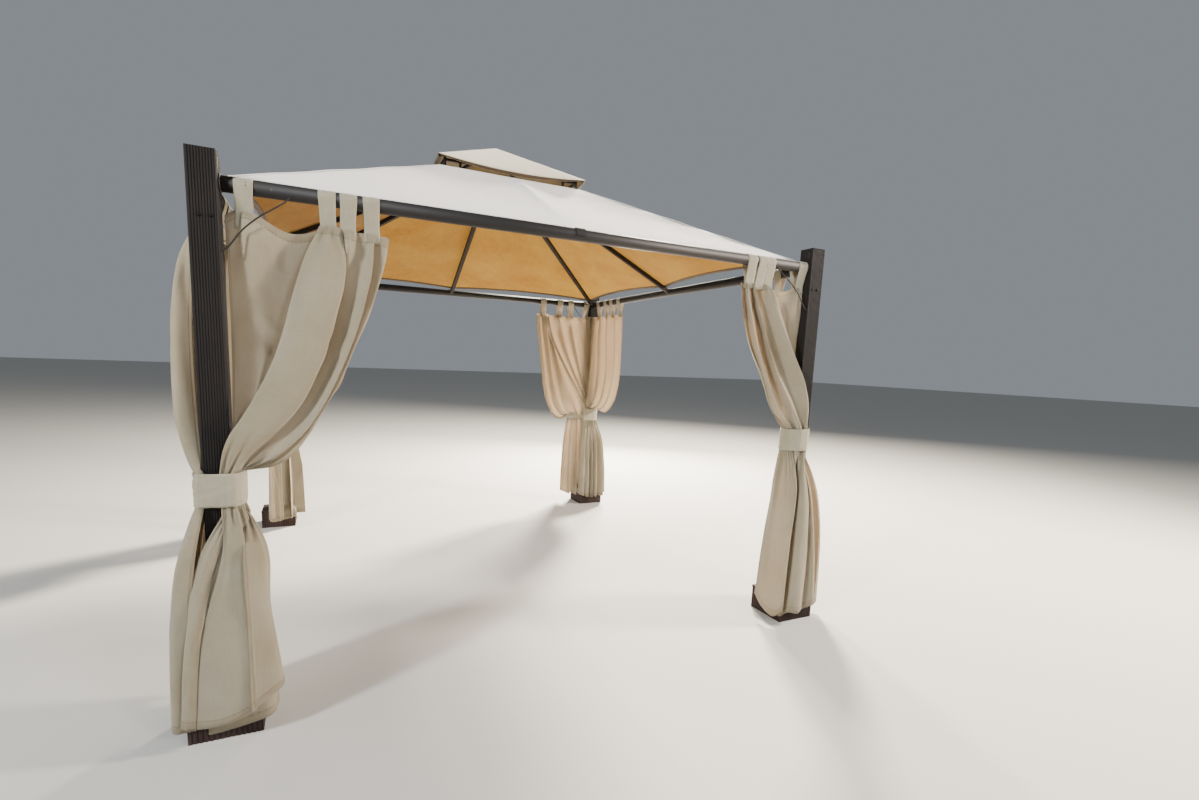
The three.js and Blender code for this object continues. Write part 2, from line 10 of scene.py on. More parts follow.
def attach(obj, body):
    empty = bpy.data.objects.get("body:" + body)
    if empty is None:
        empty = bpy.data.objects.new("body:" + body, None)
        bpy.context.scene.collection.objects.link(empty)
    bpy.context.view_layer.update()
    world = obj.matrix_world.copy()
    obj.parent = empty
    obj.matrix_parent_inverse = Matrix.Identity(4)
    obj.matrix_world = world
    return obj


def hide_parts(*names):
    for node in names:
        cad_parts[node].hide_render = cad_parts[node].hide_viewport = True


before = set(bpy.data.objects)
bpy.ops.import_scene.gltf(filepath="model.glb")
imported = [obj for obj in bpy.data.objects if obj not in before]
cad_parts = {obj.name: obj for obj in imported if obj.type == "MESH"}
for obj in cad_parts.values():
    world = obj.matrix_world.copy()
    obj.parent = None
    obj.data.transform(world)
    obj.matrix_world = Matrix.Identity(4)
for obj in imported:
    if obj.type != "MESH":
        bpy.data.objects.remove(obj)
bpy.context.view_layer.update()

# Sizes of the real thing, as the frame has them
HALF = 1.55  # from the middle of the plan to a post's middle
POST = 0.1
POST_TOP = 2.31
FOOT = 0.27
FOOT_TOP = 0.15
BEAM_Z = 2.2
BEAM_RADIUS = 0.03
EAVE = 1.5
EAVE_Z = 2.241
RING = 0.466
RING_Z = 2.753
CAP = 0.492
CAP_Z = 2.812
APEX_Z = 3.075
CLOTH_LEVEL = 0.0025  # the cloth's face lies in the middle of its 5 mm solid
CURTAIN_TOP = 2.07
CURTAIN_WIDE, CURTAIN_LONG = 1.0, 2.0
CLOTH_THICK = 0.0012  # about three times the real cloth, so that its two faces keep apart
CLEAR = 0.0003  # keeps a face that meets a post off the post's own face
CORNERS = {"front_left": (-1, -1), "front_right": (1, -1), "back_right": (1, 1), "back_left": (-1, 1)}

# Camera: the photograph's place and direction
PHOTO_WIDE, PHOTO_HIGH = 1199, 800
FOCAL_PIXELS = 564.1
CENTRE_X, CENTRE_Y = 589.2, 441.1  # where the optical axis meets the picture
EYE = Vector((-1.1587, -4.2049, 1.5850))
YAW, PITCH, ROLL = 0.4427, -0.1397, 0.0404  # turned to the right, tilted down, leaning


def make_camera():
    ahead = Vector((math.sin(YAW) * math.cos(PITCH), math.cos(YAW) * math.cos(PITCH), math.sin(PITCH)))
    level = Vector((math.cos(YAW), -math.sin(YAW), 0))
    up = level.cross(ahead)
    right = math.cos(ROLL) * level + math.sin(ROLL) * up
    top = -math.sin(ROLL) * level + math.cos(ROLL) * up
    data = bpy.data.cameras.new("eye_level")
    camera = bpy.data.objects.new("eye_level", data)
    bpy.context.scene.collection.objects.link(camera)
    camera.matrix_world = Matrix((right, top, -ahead)).transposed().to_4x4()
    camera.location = EYE
    data.sensor_width = 36
    data.lens = data.sensor_width * FOCAL_PIXELS / PHOTO_WIDE
    data.shift_x = (PHOTO_WIDE / 2 - CENTRE_X) / PHOTO_WIDE
    data.shift_y = (CENTRE_Y - PHOTO_HIGH / 2) / PHOTO_WIDE
    bpy.context.scene.camera = camera


# Materials
def linear(colour):
    """An sRGB hex colour as linear red, green, blue and alpha."""
    parts = [int(colour[i : i + 2], 16) / 255 for i in (1, 3, 5)]
    return (*[c / 12.92 if c <= 0.04045 else ((c + 0.055) / 1.055) ** 2.4 for c in parts], 1.0)


def add_node(material, kind, inputs, stops=(), **settings):
    """Adds a node with its settings, sets each input to a value or links it to a socket, and
    gives back the outputs. stops are a colour ramp's (place, hex colour) pairs."""
    made = material.node_tree.nodes.new("ShaderNode" + kind)
    for name, value in settings.items():
        setattr(made, name, value)
    for name, value in inputs.items():
        if isinstance(value, bpy.types.NodeSocket):
            material.node_tree.links.new(value, made.inputs[name])
        else:
            made.inputs[name].default_value = value
    for i, (place, colour) in enumerate(stops):
        made.color_ramp.elements[i].position = place
        made.color_ramp.elements[i].color = linear(colour)
    return made.outputs


def new_material(name):
    material = bpy.data.materials.new(name)
    material.use_nodes = True
    material.node_tree.nodes.clear()
    return material


# How many waves of each uneven pattern go to the metre
FLOUR_STREAKS = 260  # streaks of wood flour, 4 mm apart
SUN_PATCHES = 5  # bleached patches, 200 mm apart
ORANGE_PEEL = 500  # the peel of baked powder, 2 mm
DUST_SPOTS = 28  # spots of dust and painted top light, 36 mm apart
SLOT_SHADE_GRAIN = 900  # a fine grain on the slots' painted shade, 1.1 mm
ZINC_SPOTS = 220  # dull spots on zinc, 4.5 mm apart
SLUB_LONG, SLUB_SHORT = 14, 420  # along and across a thick thread, 71 mm and 2.4 mm
WORN_PATCHES = 3.5  # worn cloth, 290 mm apart


def uneven(material, place, waves, detail, stretch=(1, 1, 1)):
    """A natural uneven pattern, from 0 to 1, with its waves drawn out along the axes."""
    drawn_out = add_node(material, "Mapping", {"Vector": place, "Scale": stretch})[0]
    return add_node(material, "TexNoise", {
        "Vector": drawn_out, "Scale": waves, "Detail": detail, "Roughness": 0.6,
    })[0]


def wood_plastic(name, dark, middle, pale):
    """Extruded and brushed wood-plastic composite: matt, streaked along its length by the wood
    flour in it, and bleached a little where the sun reaches it."""
    material = new_material(name)
    place = add_node(material, "TexCoord", {})["Object"]
    streaks = uneven(material, place, FLOUR_STREAKS, 4, stretch=(1, 1, 0.03))
    patches = uneven(material, place, SUN_PATCHES, 3, stretch=(1, 1, 0.4))
    colour = add_node(material, "ValToRGB", {"Fac": streaks}, [(0.3, dark), (0.72, middle)])[0]
    faded = add_node(material, "ValToRGB", {"Fac": patches}, [(0.35, "#000000"), (0.75, "#ffffff")])[0]
    colour = add_node(
        material, "Mix", {0: faded, 6: colour, 7: linear(pale)}, data_type="RGBA", blend_type="SOFT_LIGHT"
    )[2]
    grain = add_node(material, "Bump", {"Height": streaks, "Distance": 0.0006, "Strength": 0.7})[0]
    shader = add_node(material, "BsdfPrincipled", {
        "Base Color": colour, "Roughness": 0.75, "IOR": 1.48, "Specular IOR Level": 0.3, "Normal": grain,
    })[0]
    add_node(material, "OutputMaterial", {"Surface": shader})
    return material


def powder_coat(name, colour, pale, roughness=0.6, ends=None):
    """Polyester powder baked onto steel tube: an even satin skin with a fine orange peel, and a
    film of dust where faces look up, which also makes them paler as painted top light. colour
    is darkened as painted shade on the roof bars under the roof; ends is then the colour of the
    parts past the eave, where that painted shade stops."""
    material = new_material(name)
    place = add_node(material, "TexCoord", {})["Object"]
    peel = uneven(material, place, ORANGE_PEEL, 1)
    dust = uneven(material, place, DUST_SPOTS, 5)
    # Faces that look up are made paler: partly dust, partly painted top light.
    facing = add_node(material, "NewGeometry", {})["Normal"]
    upward = add_node(material, "SeparateXYZ", {"Vector": facing})["Z"]
    share = add_node(material, "MapRange", {
        "Value": upward, "From Min": 0.2, "From Max": 1.0, "To Min": 0.0, "To Max": 0.6,
    })[0]
    dust_and_painted_top_light = add_node(material, "Math", {0: share, 1: dust}, operation="MULTIPLY")[0]
    across = add_node(material, "SeparateXYZ", {"Vector": place})
    reach_x = add_node(material, "Math", {0: across["X"]}, operation="ABSOLUTE")[0]
    reach_y = add_node(material, "Math", {0: across["Y"]}, operation="ABSOLUTE")[0]
    reach = add_node(material, "Math", {0: reach_x, 1: reach_y}, operation="MAXIMUM")[0]
    beyond = add_node(material, "Math", {0: reach, 1: EAVE}, operation="GREATER_THAN")[0]
    # Inside the eave the colour, which on the roof bars is painted shade; past it the ends colour.
    painted = add_node(
        material, "Mix", {0: beyond, 6: linear(colour), 7: linear(ends or colour)}, data_type="RGBA"
    )[2]
    coat_dust_and_top_light = add_node(material, "Mix", {0: dust_and_painted_top_light, 6: painted, 7: linear(pale)}, data_type="RGBA")[2]
    skin = add_node(material, "Bump", {"Height": peel, "Distance": 0.0002, "Strength": 0.5})[0]
    shader = add_node(material, "BsdfPrincipled", {
        "Base Color": coat_dust_and_top_light, "Roughness": roughness, "IOR": 1.5, "Specular IOR Level": 0.35, "Normal": skin,
    })[0]
    add_node(material, "OutputMaterial", {"Surface": shader})
    return material


def slot_shade_finish(name):
    """A near-black matt face with a fine grain: painted shade for the keyholes in the posts."""
    material = new_material(name)
    place = add_node(material, "TexCoord", {})["Object"]
    grain = uneven(material, place, SLOT_SHADE_GRAIN, 2)
    colour = add_node(material, "ValToRGB", {"Fac": grain}, [(0.3, "#070707"), (0.8, "#141312")])[0]
    face = add_node(material, "Bump", {"Height": grain, "Distance": 0.0002, "Strength": 0.5})[0]
    shader = add_node(material, "BsdfPrincipled", {
        "Base Color": colour, "Roughness": 0.8, "IOR": 1.51, "Normal": face,
    })[0]
    add_node(material, "OutputMaterial", {"Surface": shader})
    return material


def zinc_steel(name):
    """Zinc-plated bolt steel gone dull: nearly black, half metallic."""
    material = new_material(name)
    place = add_node(material, "TexCoord", {})["Object"]
    spots = uneven(material, place, ZINC_SPOTS, 3)
    colour = add_node(material, "ValToRGB", {"Fac": spots}, [(0.3, "#080706"), (0.8, "#191613")])[0]
    shader = add_node(material, "BsdfPrincipled", {
        "Base Color": colour, "Metallic": 0.7, "Roughness": 0.7,
    })[0]
    add_node(material, "OutputMaterial", {"Surface": shader})
    return material


# The weave shows as a fine grid. Its real threads are 0.5 mm apart, which is too fine to show,
# so they are drawn 1.6 mm apart.
THREAD = 0.0016
WEAVE_DEEP = 0.00016
GROOVE_DEEP = 5.0  # how much deeper than the weave a line of stitches pulls the cloth
SEAM_IN, HEM_IN = 0.012, 0.032  # how far in the stitches of an upright edge and of a hem run
STITCH = 0.008  # a stitch and its gap, drawn at twice their real length so that they show
STITCH_SHOWS = 0.6  # how far a stitch takes on its own colour


def woven(name, colours, through, share, tinted=1.0, stitch_lines=None):
    """Plain-woven polyester: a matt grid of threads with slubs, that lets a share of the light
    through. colours are its dark and pale threads and, where stitches show, also theirs and that
    of doubled cloth, whose darker tint is painted shade. tinted is how far the threads colour the
    light that comes through.
    stitch_lines is the cloth's (width, length), where its sewn edges are to show."""
    material = new_material(name)
    place = add_node(material, "UVMap", {}, uv_map="Cloth")[0]
    # A wave texture draws a band every 2 pi / 20 of its coordinate at scale 1
    warp, weft = [
        add_node(
            material, "TexWave",
            {"Vector": place, "Scale": 2 * math.pi / 20 / THREAD, "Distortion": 0.6, "Detail": 1.0},
            wave_type="BANDS", bands_direction=direction,
        )["Fac"]
        for direction in "XY"
    ]
    thick_warp = uneven(material, place, 1, 2, stretch=(SLUB_SHORT, SLUB_LONG, 1))
    thick_weft = uneven(material, place, 1, 2, stretch=(SLUB_LONG, SLUB_SHORT, 1))
    both = add_node(material, "Math", {0: thick_warp, 1: thick_weft}, operation="ADD")[0]
    slubs = add_node(material, "Math", {0: both, 1: 0.5}, operation="MULTIPLY")[0]
    patches = uneven(material, place, WORN_PATCHES, 4)
    colour = add_node(material, "ValToRGB", {"Fac": slubs}, [(0.36, colours[0]), (0.64, colours[1])])[0]
    worn = add_node(material, "ValToRGB", {"Fac": patches}, [(0.3, "#8c8c8c"), (0.7, "#747474")])[0]
    colour = add_node(
        material, "Mix", {0: 1.0, 6: colour, 7: worn}, data_type="RGBA", blend_type="OVERLAY"
    )[2]
    grid = add_node(material, "Math", {0: warp, 1: weft}, operation="ADD")[0]
    raised_slubs = add_node(material, "Math", {0: slubs, 1: 0.6}, operation="MULTIPLY")[0]
    relief = add_node(material, "Math", {0: grid, 1: raised_slubs}, operation="ADD")[0]
    if stitch_lines:
        groove, stitches, doubled = sewn_edges(material, place, *stitch_lines)
        drawn_in = add_node(material, "Math", {0: groove, 1: GROOVE_DEEP}, operation="MULTIPLY")[0]
        relief = add_node(material, "Math", {0: relief, 1: drawn_in}, operation="SUBTRACT")[0]
        shown = add_node(material, "Math", {0: stitches, 1: STITCH_SHOWS}, operation="MULTIPLY")[0]
        # Stitches take their thread colour; doubled cloth is darkened as painted shade.
        for where, tone in ((shown, linear(colours[2])), (doubled, linear(colours[3]))):
            colour = add_node(
                material, "Mix", {0: where, 6: colour, 7: tone}, data_type="RGBA", blend_type="MULTIPLY"
            )[2]
    normal = add_node(material, "Bump", {"Height": relief, "Distance": WEAVE_DEEP, "Strength": 1.0})[0]
    face = add_node(material, "BsdfPrincipled", {
        "Base Color": colour, "Roughness": 0.85, "IOR": 1.45, "Specular IOR Level": 0.3,
        "Sheen Weight": 0.25, "Sheen Roughness": 0.5, "Normal": normal,
    })[0]
    lit = add_node(
        material, "Mix", {0: tinted, 6: linear(through), 7: colour}, data_type="RGBA", blend_type="MULTIPLY"
    )[2]
    back = add_node(material, "BsdfTranslucent", {"Color": lit, "Normal": normal})[0]
    cloth = add_node(material, "MixShader", {0: share, 1: face, 2: back})[0]
    add_node(material, "OutputMaterial", {"Surface": cloth})
    return material


def sewn_edges(material, place, width, length):
    """Round a cloth of that size: a groove along its stitch lines, the stitches in it, and where
    the cloth is turned in and so doubled."""
    sides = add_node(material, "SeparateXYZ", {"Vector": place})
    upright = (sides["X"], sides["Y"], SEAM_IN, width - SEAM_IN)
    level = (sides["Y"], sides["X"], HEM_IN, length - HEM_IN)
    found = [0.0, 0.0, 0.0]
    for across, along, first, last in (upright, level):
        turns = add_node(material, "Math", {0: along, 1: 2 * math.pi / STITCH}, operation="MULTIPLY")[0]
        wave = add_node(material, "Math", {0: turns}, operation="SINE")[0]
        beat = add_node(material, "Math", {0: wave, 1: 0.0}, operation="GREATER_THAN")[0]
        for line, outside in ((first, "LESS_THAN"), (last, "GREATER_THAN")):
            away = add_node(material, "Math", {0: across, 1: line}, operation="SUBTRACT")[0]
            size = add_node(material, "Math", {0: away}, operation="ABSOLUTE")[0]
            groove = add_node(material, "MapRange", {
                "Value": size, "From Min": 0.001, "From Max": 0.004, "To Min": 1.0, "To Max": 0.0,
            })[0]
            stitches = add_node(material, "Math", {0: groove, 1: beat}, operation="MULTIPLY")[0]
            doubled = add_node(material, "Math", {0: across, 1: line}, operation=outside)[0]
            found = [
                add_node(material, "Math", {0: before, 1: now}, operation="MAXIMUM")[0]
                for before, now in zip(found, (groove, stitches, doubled), strict=True)
            ]
    return found


post_composite = wood_plastic("brushed_wood_plastic_composite", "#120f0d", "#211b17", "#7d7164")
foot_composite = wood_plastic("ribbed_foot_boards_composite", "#221814", "#40302a", "#7d6c62")
tube_paint = powder_coat("powder_coated_steel_tube", "#1d1a18", "#37322c")
# The roof bars' dark brown under the roof is painted shade; past the eave they keep the tube's own colour.
bar_paint_painted_shade = powder_coat("powder_coated_roof_bar_painted_shade", "#170b06", "#2c211b", 0.8, ends="#1d1a18")
bolt_steel = zinc_steel("dull_zinc_bolt_steel")
# The keyholes' black is painted shade: the dark inside a hole, drawn as a thin plate.
slot_painted_shade = slot_shade_finish("black_matt_painted_slot_shade")
roof_outside = woven("coated_roof_polyester", ["#f2f1ee", "#f9f8f6"], "#f2f0b8", 0.23)
# The roof's inner face is painted warm tan: painted backlight, the sun's light through the cream cloth.
roof_inside_painted_backlight = woven("roof_polyester_inner_face_painted_backlight", ["#cab87c", "#d6c692"], "#f4f0c2", 0.8)
# The cap's inner face is painted a darker brownish tan: painted shade under the cap, with the warm tint of
# light through the cloth.
cap_inside_painted_shade = woven("cap_polyester_inner_face_painted_shade", ["#8f7c50", "#9b885a"], "#e8d8a0", 0.2)
# The hem bands, under the roof's edge and round the foot of the cap, are painted dark brown: painted shade.
roof_hem = woven("polyester_hem_band_painted_shade", ["#5c4526", "#6a5030"], "#a07238", 0.1)
cap_outside = woven("coated_cap_polyester", ["#f4edd8", "#faf4e4"], "#f0d8a0", 0.3)
# Doubled edges are darkened with #eeebe6: painted shade, as two layers let less light through.
curtain_cloth = woven(
    "curtain_polyester", ["#c5c1b5", "#cdc9be", "#968f82", "#eeebe6"], "#f2dfcb", 0.35,
    tinted=0.35, stitch_lines=(CURTAIN_WIDE, CURTAIN_LONG),
)
tie_cloth = woven("curtain_polyester_doubled_in_ties", ["#c8c5ba", "#d0cdc3"], "#f4e2d4", 0.25, tinted=0.35)


# Making pieces
def piece_from(bm, name, materials, body="root"):
    """A finished piece at the origin, from a bmesh in its own place."""
    mesh = bpy.data.meshes.new(name)
    bm.to_mesh(mesh)
    bm.free()
    for material in materials:
        mesh.materials.append(material)
    made = bpy.data.objects.new(name, mesh)
    bpy.context.scene.collection.objects.link(made)
    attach(made, body)
    return made


def smooth_faces(bm):
    for face in bm.faces:
        face.smooth = True


def join_into(bm, other):
    """Adds another bmesh's faces to a bmesh, and frees the other."""
    spare = bpy.data.meshes.new("spare")
    other.to_mesh(spare)
    other.free()
    bm.from_mesh(spare)
    bpy.data.meshes.remove(spare)


def raise_up(bm, height):
    """Makes a flat outline into a prism of that height."""
    made = bmesh.ops.extrude_face_region(bm, geom=bm.faces[:])["geom"]
    top = [part for part in made if isinstance(part, bmesh.types.BMVert)]
    bmesh.ops.translate(bm, vec=(0, 0, height), verts=top)
    bmesh.ops.recalc_face_normals(bm, faces=bm.faces)


def add_thickness(piece, thickness, offset=0.0, inner=0):
    """Thickens a sheet; inner is how many places further on its inner face's material is."""
    solidify = piece.modifiers.new("thickness", "SOLIDIFY")
    solidify.thickness = thickness
    solidify.offset = offset
    solidify.material_offset = inner
    solidify.use_even_offset = False


def cloth_grid(columns, rows, place, wide, long):
    """A sheet of cloth: place(s, t) gives where its point at shares s across and t down lies."""
    bm = bmesh.new()
    bm.loops.layers.uv.new("Cloth")
    bmesh.ops.create_grid(bm, x_segments=columns, y_segments=rows, size=0.5, calc_uvs=False)
    uv = bm.loops.layers.uv["Cloth"]
    shares = {v: (v.co.x + 0.5, 0.5 - v.co.y) for v in bm.verts}
    for face in bm.faces:
        for loop in face.loops:
            s, t = shares[loop.vert]
            loop[uv].uv = (s * wide, t * long)
    for v, (s, t) in shares.items():
        v.co = place(s, t)
    smooth_faces(bm)
    return bm


# Posts: square composite extrusions with fine ridges down every face
RIDGE_PITCH = 0.0096
RIDGE_DEPTH = 0.002
RIDGE_FROM, RIDGE_TO, GROOVE_FROM = 0.12, 0.55, 0.67  # shares of the pitch
POST_CHAMFER = 0.004


def ridged_outline(half, chamfer, pitch, depth):
    """Corners of one side of a ridged square outline, as (out, along) from its first chamfer."""
    flat = 2 * (half - chamfer)
    count = round(flat / pitch)
    step = flat / count
    side = []
    for i in range(count):
        start = -half + chamfer + i * step
        side += [(half, start + share * step) for share in (RIDGE_FROM, RIDGE_TO)]
        side += [(half - depth, start + share * step) for share in (GROOVE_FROM, 1)]
    return [(half, -half + chamfer), *side[:-1], (half, half - chamfer)]


def ridged_prism(half, chamfer, pitch, depth, low, high):
    """An upright square prism with ridges down its four faces."""
    side = ridged_outline(half, chamfer, pitch, depth)
    bm = bmesh.new()
    bmesh.ops.create_circle(bm, segments=4 * len(side), radius=half, cap_ends=True)
    ring = sorted(bm.verts, key=lambda v: math.atan2(v.co.y, v.co.x) % (2 * math.pi))
    for k, v in enumerate(ring):
        out, along = side[k % len(side)]
        turn = Matrix.Rotation(k // len(side) * math.pi / 2, 3, "Z")
        v.co = turn @ Vector((out, along, low))
    raise_up(bm, high - low)
    return bm


def at_corner(bm, corner):
    x, y = CORNERS[corner]
    bmesh.ops.translate(bm, vec=(x * HALF, y * HALF, 0), verts=bm.verts)
    return bm


def make_posts():
    for corner in CORNERS:
        bm = ridged_prism(POST / 2, POST_CHAMFER, RIDGE_PITCH, RIDGE_DEPTH, 0, POST_TOP)
        post = piece_from(at_corner(bm, corner), f"ridged_post_{corner}", [post_composite])
        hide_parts(f"post_{corner}")


# Foot boxes: ribbed boards on four sides under a flat lid with a hole for the post
LID = 0.012
BOARD_IN = 0.002  # from the lid's edge
BOARD_CHAMFER = 0.003
BOARD_PITCH = 0.018
BOARD_DEPTH = 0.003
LID_EDGE = 0.002


def square_ring(half, hole, low, high):
    """A square slab with a square hole."""
    bm = bmesh.new()
    bmesh.ops.create_grid(bm, x_segments=3, y_segments=3, size=1.5)
    reach = {-1.5: -half, -0.5: -hole, 0.5: hole, 1.5: half}
    middle = [f for f in bm.faces if f.calc_center_median().length < 0.1]
    bmesh.ops.delete(bm, geom=middle, context="FACES")
    for v in bm.verts:
        v.co = (reach[round(v.co.x * 2) / 2], reach[round(v.co.y * 2) / 2], low)
    raise_up(bm, high - low)
    return bm


def soften(bm, width, angle=0.6):
    """Rounds the edges that turn more than the angle, in radians."""
    sharp = [e for e in bm.edges if len(e.link_faces) == 2 and e.calc_face_angle() > angle]
    bmesh.ops.bevel(bm, geom=sharp, offset=width, affect="EDGES", segments=2, profile=0.5, material=-1)


def make_foot_boxes():
    for corner in CORNERS:
        half = FOOT / 2 - BOARD_IN
        walls = ridged_prism(half, BOARD_CHAMFER, BOARD_PITCH, BOARD_DEPTH, 0, FOOT_TOP - LID)
        at_corner(walls, corner)
        box = piece_from(walls, f"foot_box_boards_{corner}", [foot_composite])
        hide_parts(f"foot_box_{corner}")
        lid = square_ring(FOOT / 2, POST / 2 + CLEAR, FOOT_TOP - LID, FOOT_TOP)
        soften(lid, LID_EDGE)
        piece_from(at_corner(lid, corner), f"foot_box_lid_{corner}", [foot_composite])


# Beams: round tubes with a fixing collar at each end
TUBE_SIDES = 48
TUBE_WALL = 0.003
COLLAR_LONG, COLLAR_RADIUS = 0.006, 0.036
COLLAR_PLAY = 0.0002
BEAM_TURNS = {"front": 0, "right": 1, "back": 2, "left": 3}


def tube_along_x(radius, start, end, wall):
    """An open-ended tube with rounded shading and flat ends."""
    bm = bmesh.new()
    ends = []
    for x in (start, end):
        for r in (radius, radius - wall):
            loop = bmesh.ops.create_circle(bm, segments=TUBE_SIDES, radius=r)["verts"]
            turn = Matrix.Translation((x, 0, 0)) @ Matrix.Rotation(math.pi / 2, 4, "Y")
            bmesh.ops.transform(bm, matrix=turn, verts=loop)
            ends.append(list({e for v in loop for e in v.link_edges}))
    for a, b in ((0, 1), (2, 3), (0, 2), (1, 3)):
        bmesh.ops.bridge_loops(bm, edges=ends[a] + ends[b])
    bmesh.ops.recalc_face_normals(bm, faces=bm.faces)
    for face in bm.faces:
        face.smooth = abs(face.normal.x) < 0.5
    return bm


def make_beams():
    end = HALF - POST / 2 - CLEAR
    for side, turns in BEAM_TURNS.items():
        bm = tube_along_x(BEAM_RADIUS, -end, end, TUBE_WALL)
        for start in (-end, end - COLLAR_LONG):
            wall = COLLAR_RADIUS - BEAM_RADIUS - COLLAR_PLAY
            join_into(bm, tube_along_x(COLLAR_RADIUS, start, start + COLLAR_LONG, wall))
        place = Matrix.Rotation(turns * math.pi / 2, 4, "Z") @ Matrix.Translation((0, -HALF, BEAM_Z))
        bmesh.ops.transform(bm, matrix=place, verts=bm.verts)
        beam = piece_from(bm, f"round_beam_{side}", [tube_paint])
        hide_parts(f"beam_{side}")


# The bars of the roof frame keep their solids, with softened edges
WELD_WITHIN = 0.0001
BAR_EDGE = 0.002


def paint_frame_bars():
    names = ("hip_rib", "middle_rib", "roof_ring", "vent_frame", "corner_plate", "corner_stay")
    for name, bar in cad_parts.items():
        if not name.startswith(names):
            continue
        # Bars under the roof take the paint whose colour is painted shade; the corner plates take the plain
        # tube paint.
        for socket in bar.material_slots:
            socket.material = tube_paint if name.startswith("corner_plate") else bar_paint_painted_shade
        if name.startswith("corner_stay"):
            continue
        weld = bar.modifiers.new("weld", "WELD")
        weld.merge_threshold = WELD_WITHIN
        edge = bar.modifiers.new("edge", "BEVEL")
        edge.width = BAR_EDGE
        edge.segments = 2
        edge.limit_method = "ANGLE"


# Bolts: two button heads on each post's outer faces, where the beam brackets are fixed
BOLT_Z = 2.07
BOLT_INWARDS = (-0.012, 0.026)  # from the middle of the post's face
BOLT_FOOT, BOLT_CROWN, BOLT_HIGH = 0.0075, 0.0055, 0.004  # two radii and the height


def outer_faces(corner):
    """For a post's two outer faces, (the way out, the way along to the post's other one)."""
    sign_x, sign_y = CORNERS[corner]
    x, y = Vector((sign_x, 0, 0)), Vector((0, sign_y, 0))
    return (y, x), (x, y)


def aimed(way, spot):
    """The place at that spot whose Z axis points that way."""
    return Matrix.Translation(spot) @ way.to_track_quat("Z", "Y").to_matrix().to_4x4()


def make_bolts():
    for corner in CORNERS:
        bm = bmesh.new()
        for inwards in BOLT_INWARDS:
            for out, along in outer_faces(corner):
                head = bmesh.ops.create_cone(
                    bm, cap_ends=True, segments=20, radius1=BOLT_FOOT, radius2=BOLT_CROWN, depth=BOLT_HIGH
                )["verts"]
                spot = out * (POST + BOLT_HIGH) / 2 - along * inwards + Vector((0, 0, BOLT_Z))
                bmesh.ops.transform(bm, matrix=aimed(out, spot), verts=head)
        bmesh.ops.recalc_face_normals(bm, faces=bm.faces)
        smooth_faces(bm)
        piece_from(at_corner(bm, corner), f"bracket_bolts_{corner}", [bolt_steel])


# Slots: above its two beams each post has a narrow keyhole, drawn as a near-black plate of painted shade
# standing just off the post's face
SLOT_WIDE, SLOT_HIGH, SLOT_Z = 0.013, 0.042, 2.268
SLOT_OFF = 0.022  # from the middle of the post's face, outwards
SLOT_CORNER = 0.0055
# The painted-shade plate: its rim, how far its middle stands off, and its thickness
SHADE_PLATE_LIP, SHADE_PLATE_STANDS, SHADE_PLATE_THICK = 0.0012, 0.0004, 0.0008


def make_slots():
    for corner in CORNERS:
        bm = bmesh.new()
        for out, along in outer_faces(corner):
            plate = bmesh.ops.create_grid(bm, x_segments=1, y_segments=1, size=0.5)["verts"]
            bmesh.ops.scale(bm, vec=(SLOT_WIDE, SLOT_HIGH, 1), verts=plate)
            spot = -out * (POST / 2 + CLEAR) + along * SLOT_OFF + Vector((0, 0, SLOT_Z))
            bmesh.ops.transform(bm, matrix=aimed(-out, spot), verts=plate)
        bmesh.ops.bevel(
            bm, geom=bm.verts[:], offset=SLOT_CORNER, affect="VERTICES", segments=5, profile=0.5, material=-1
        )
        bmesh.ops.inset_individual(bm, faces=bm.faces[:], thickness=SHADE_PLATE_LIP, depth=SHADE_PLATE_STANDS)
        bmesh.ops.recalc_face_normals(bm, faces=bm.faces)
        slot_shade_plates = piece_from(at_corner(bm, corner), f"keyhole_painted_shade_{corner}", [slot_painted_shade])
        add_thickness(slot_shade_plates, SHADE_PLATE_THICK)


# Roof cloth: four slopes in one sheet
SAG = 0.028  # of each panel between two ribs
HEM_CURVE = 0.065  # how far in the hem curves between two ribs
PULL = 0.004  # depth of the faint pulls beside the corners
RIB_FOLD, FOLD_WIDE = 0.016, 0.055  # the soft fold that the middle rib lifts near the ring
LIP = 0.014  # the cloth turned in over the ring
SLOPE = (RING_Z - EAVE_Z) / (EAVE - RING)
SLOPE_LONG = 1.16
ROOF_ROUND = 7.84  # round the four slopes, halfway down
ROOF_COLUMNS, ROOF_ROWS = 4 * 72, 44
HEM_WIDE, HEM_ROUND = 0.026, 11.6
HEM_UNDER, HEM_THICK = 0.0022, 0.0016
SEAM_HALF, SEAM_LONG, SEAM_STANDS = 0.008, 1.2, 0.0018


def turned(turns, out, along, height):
    """A point of the right side, turned on to another side by quarter turns."""
    x, y = out, along
    for _ in range(turns % 4):
        x, y = -y, x
    return Vector((x, y, height))


def roof_place(around, down, depth=CLOTH_LEVEL):
    """A point of the roof cloth: around is from 0 to 4 sides, and down from 0 at the ring to 1 at
    the hem. Below 0 it is on the lip."""
    side = min(int(around), 3)
    across = 2 * (around - side) - 1
    along = abs(across)
    bow = 4 * along * (1 - along)
    if down < 0:
        reach = RING + down * LIP
        return turned(side, reach, across * reach, RING_Z - depth)
    reach = RING + (EAVE - HEM_CURVE * bow - RING) * down
    sag = SAG * math.sin(math.pi * along) * math.sin(math.pi * min(down + 0.12, 1) * 0.85)
    pull = PULL * math.sin(24 * down + 5 * side) * max(0, along - 0.55) * down * (1 - down) * 4
    fold = RIB_FOLD * math.exp(-along * reach / FOLD_WIDE) * (1 - down) ** 1.4
    height = RING_Z - SLOPE * (reach - RING) - (sag + pull - fold) * min(1, down * 6) - depth
    return turned(side, reach, across * reach, height)


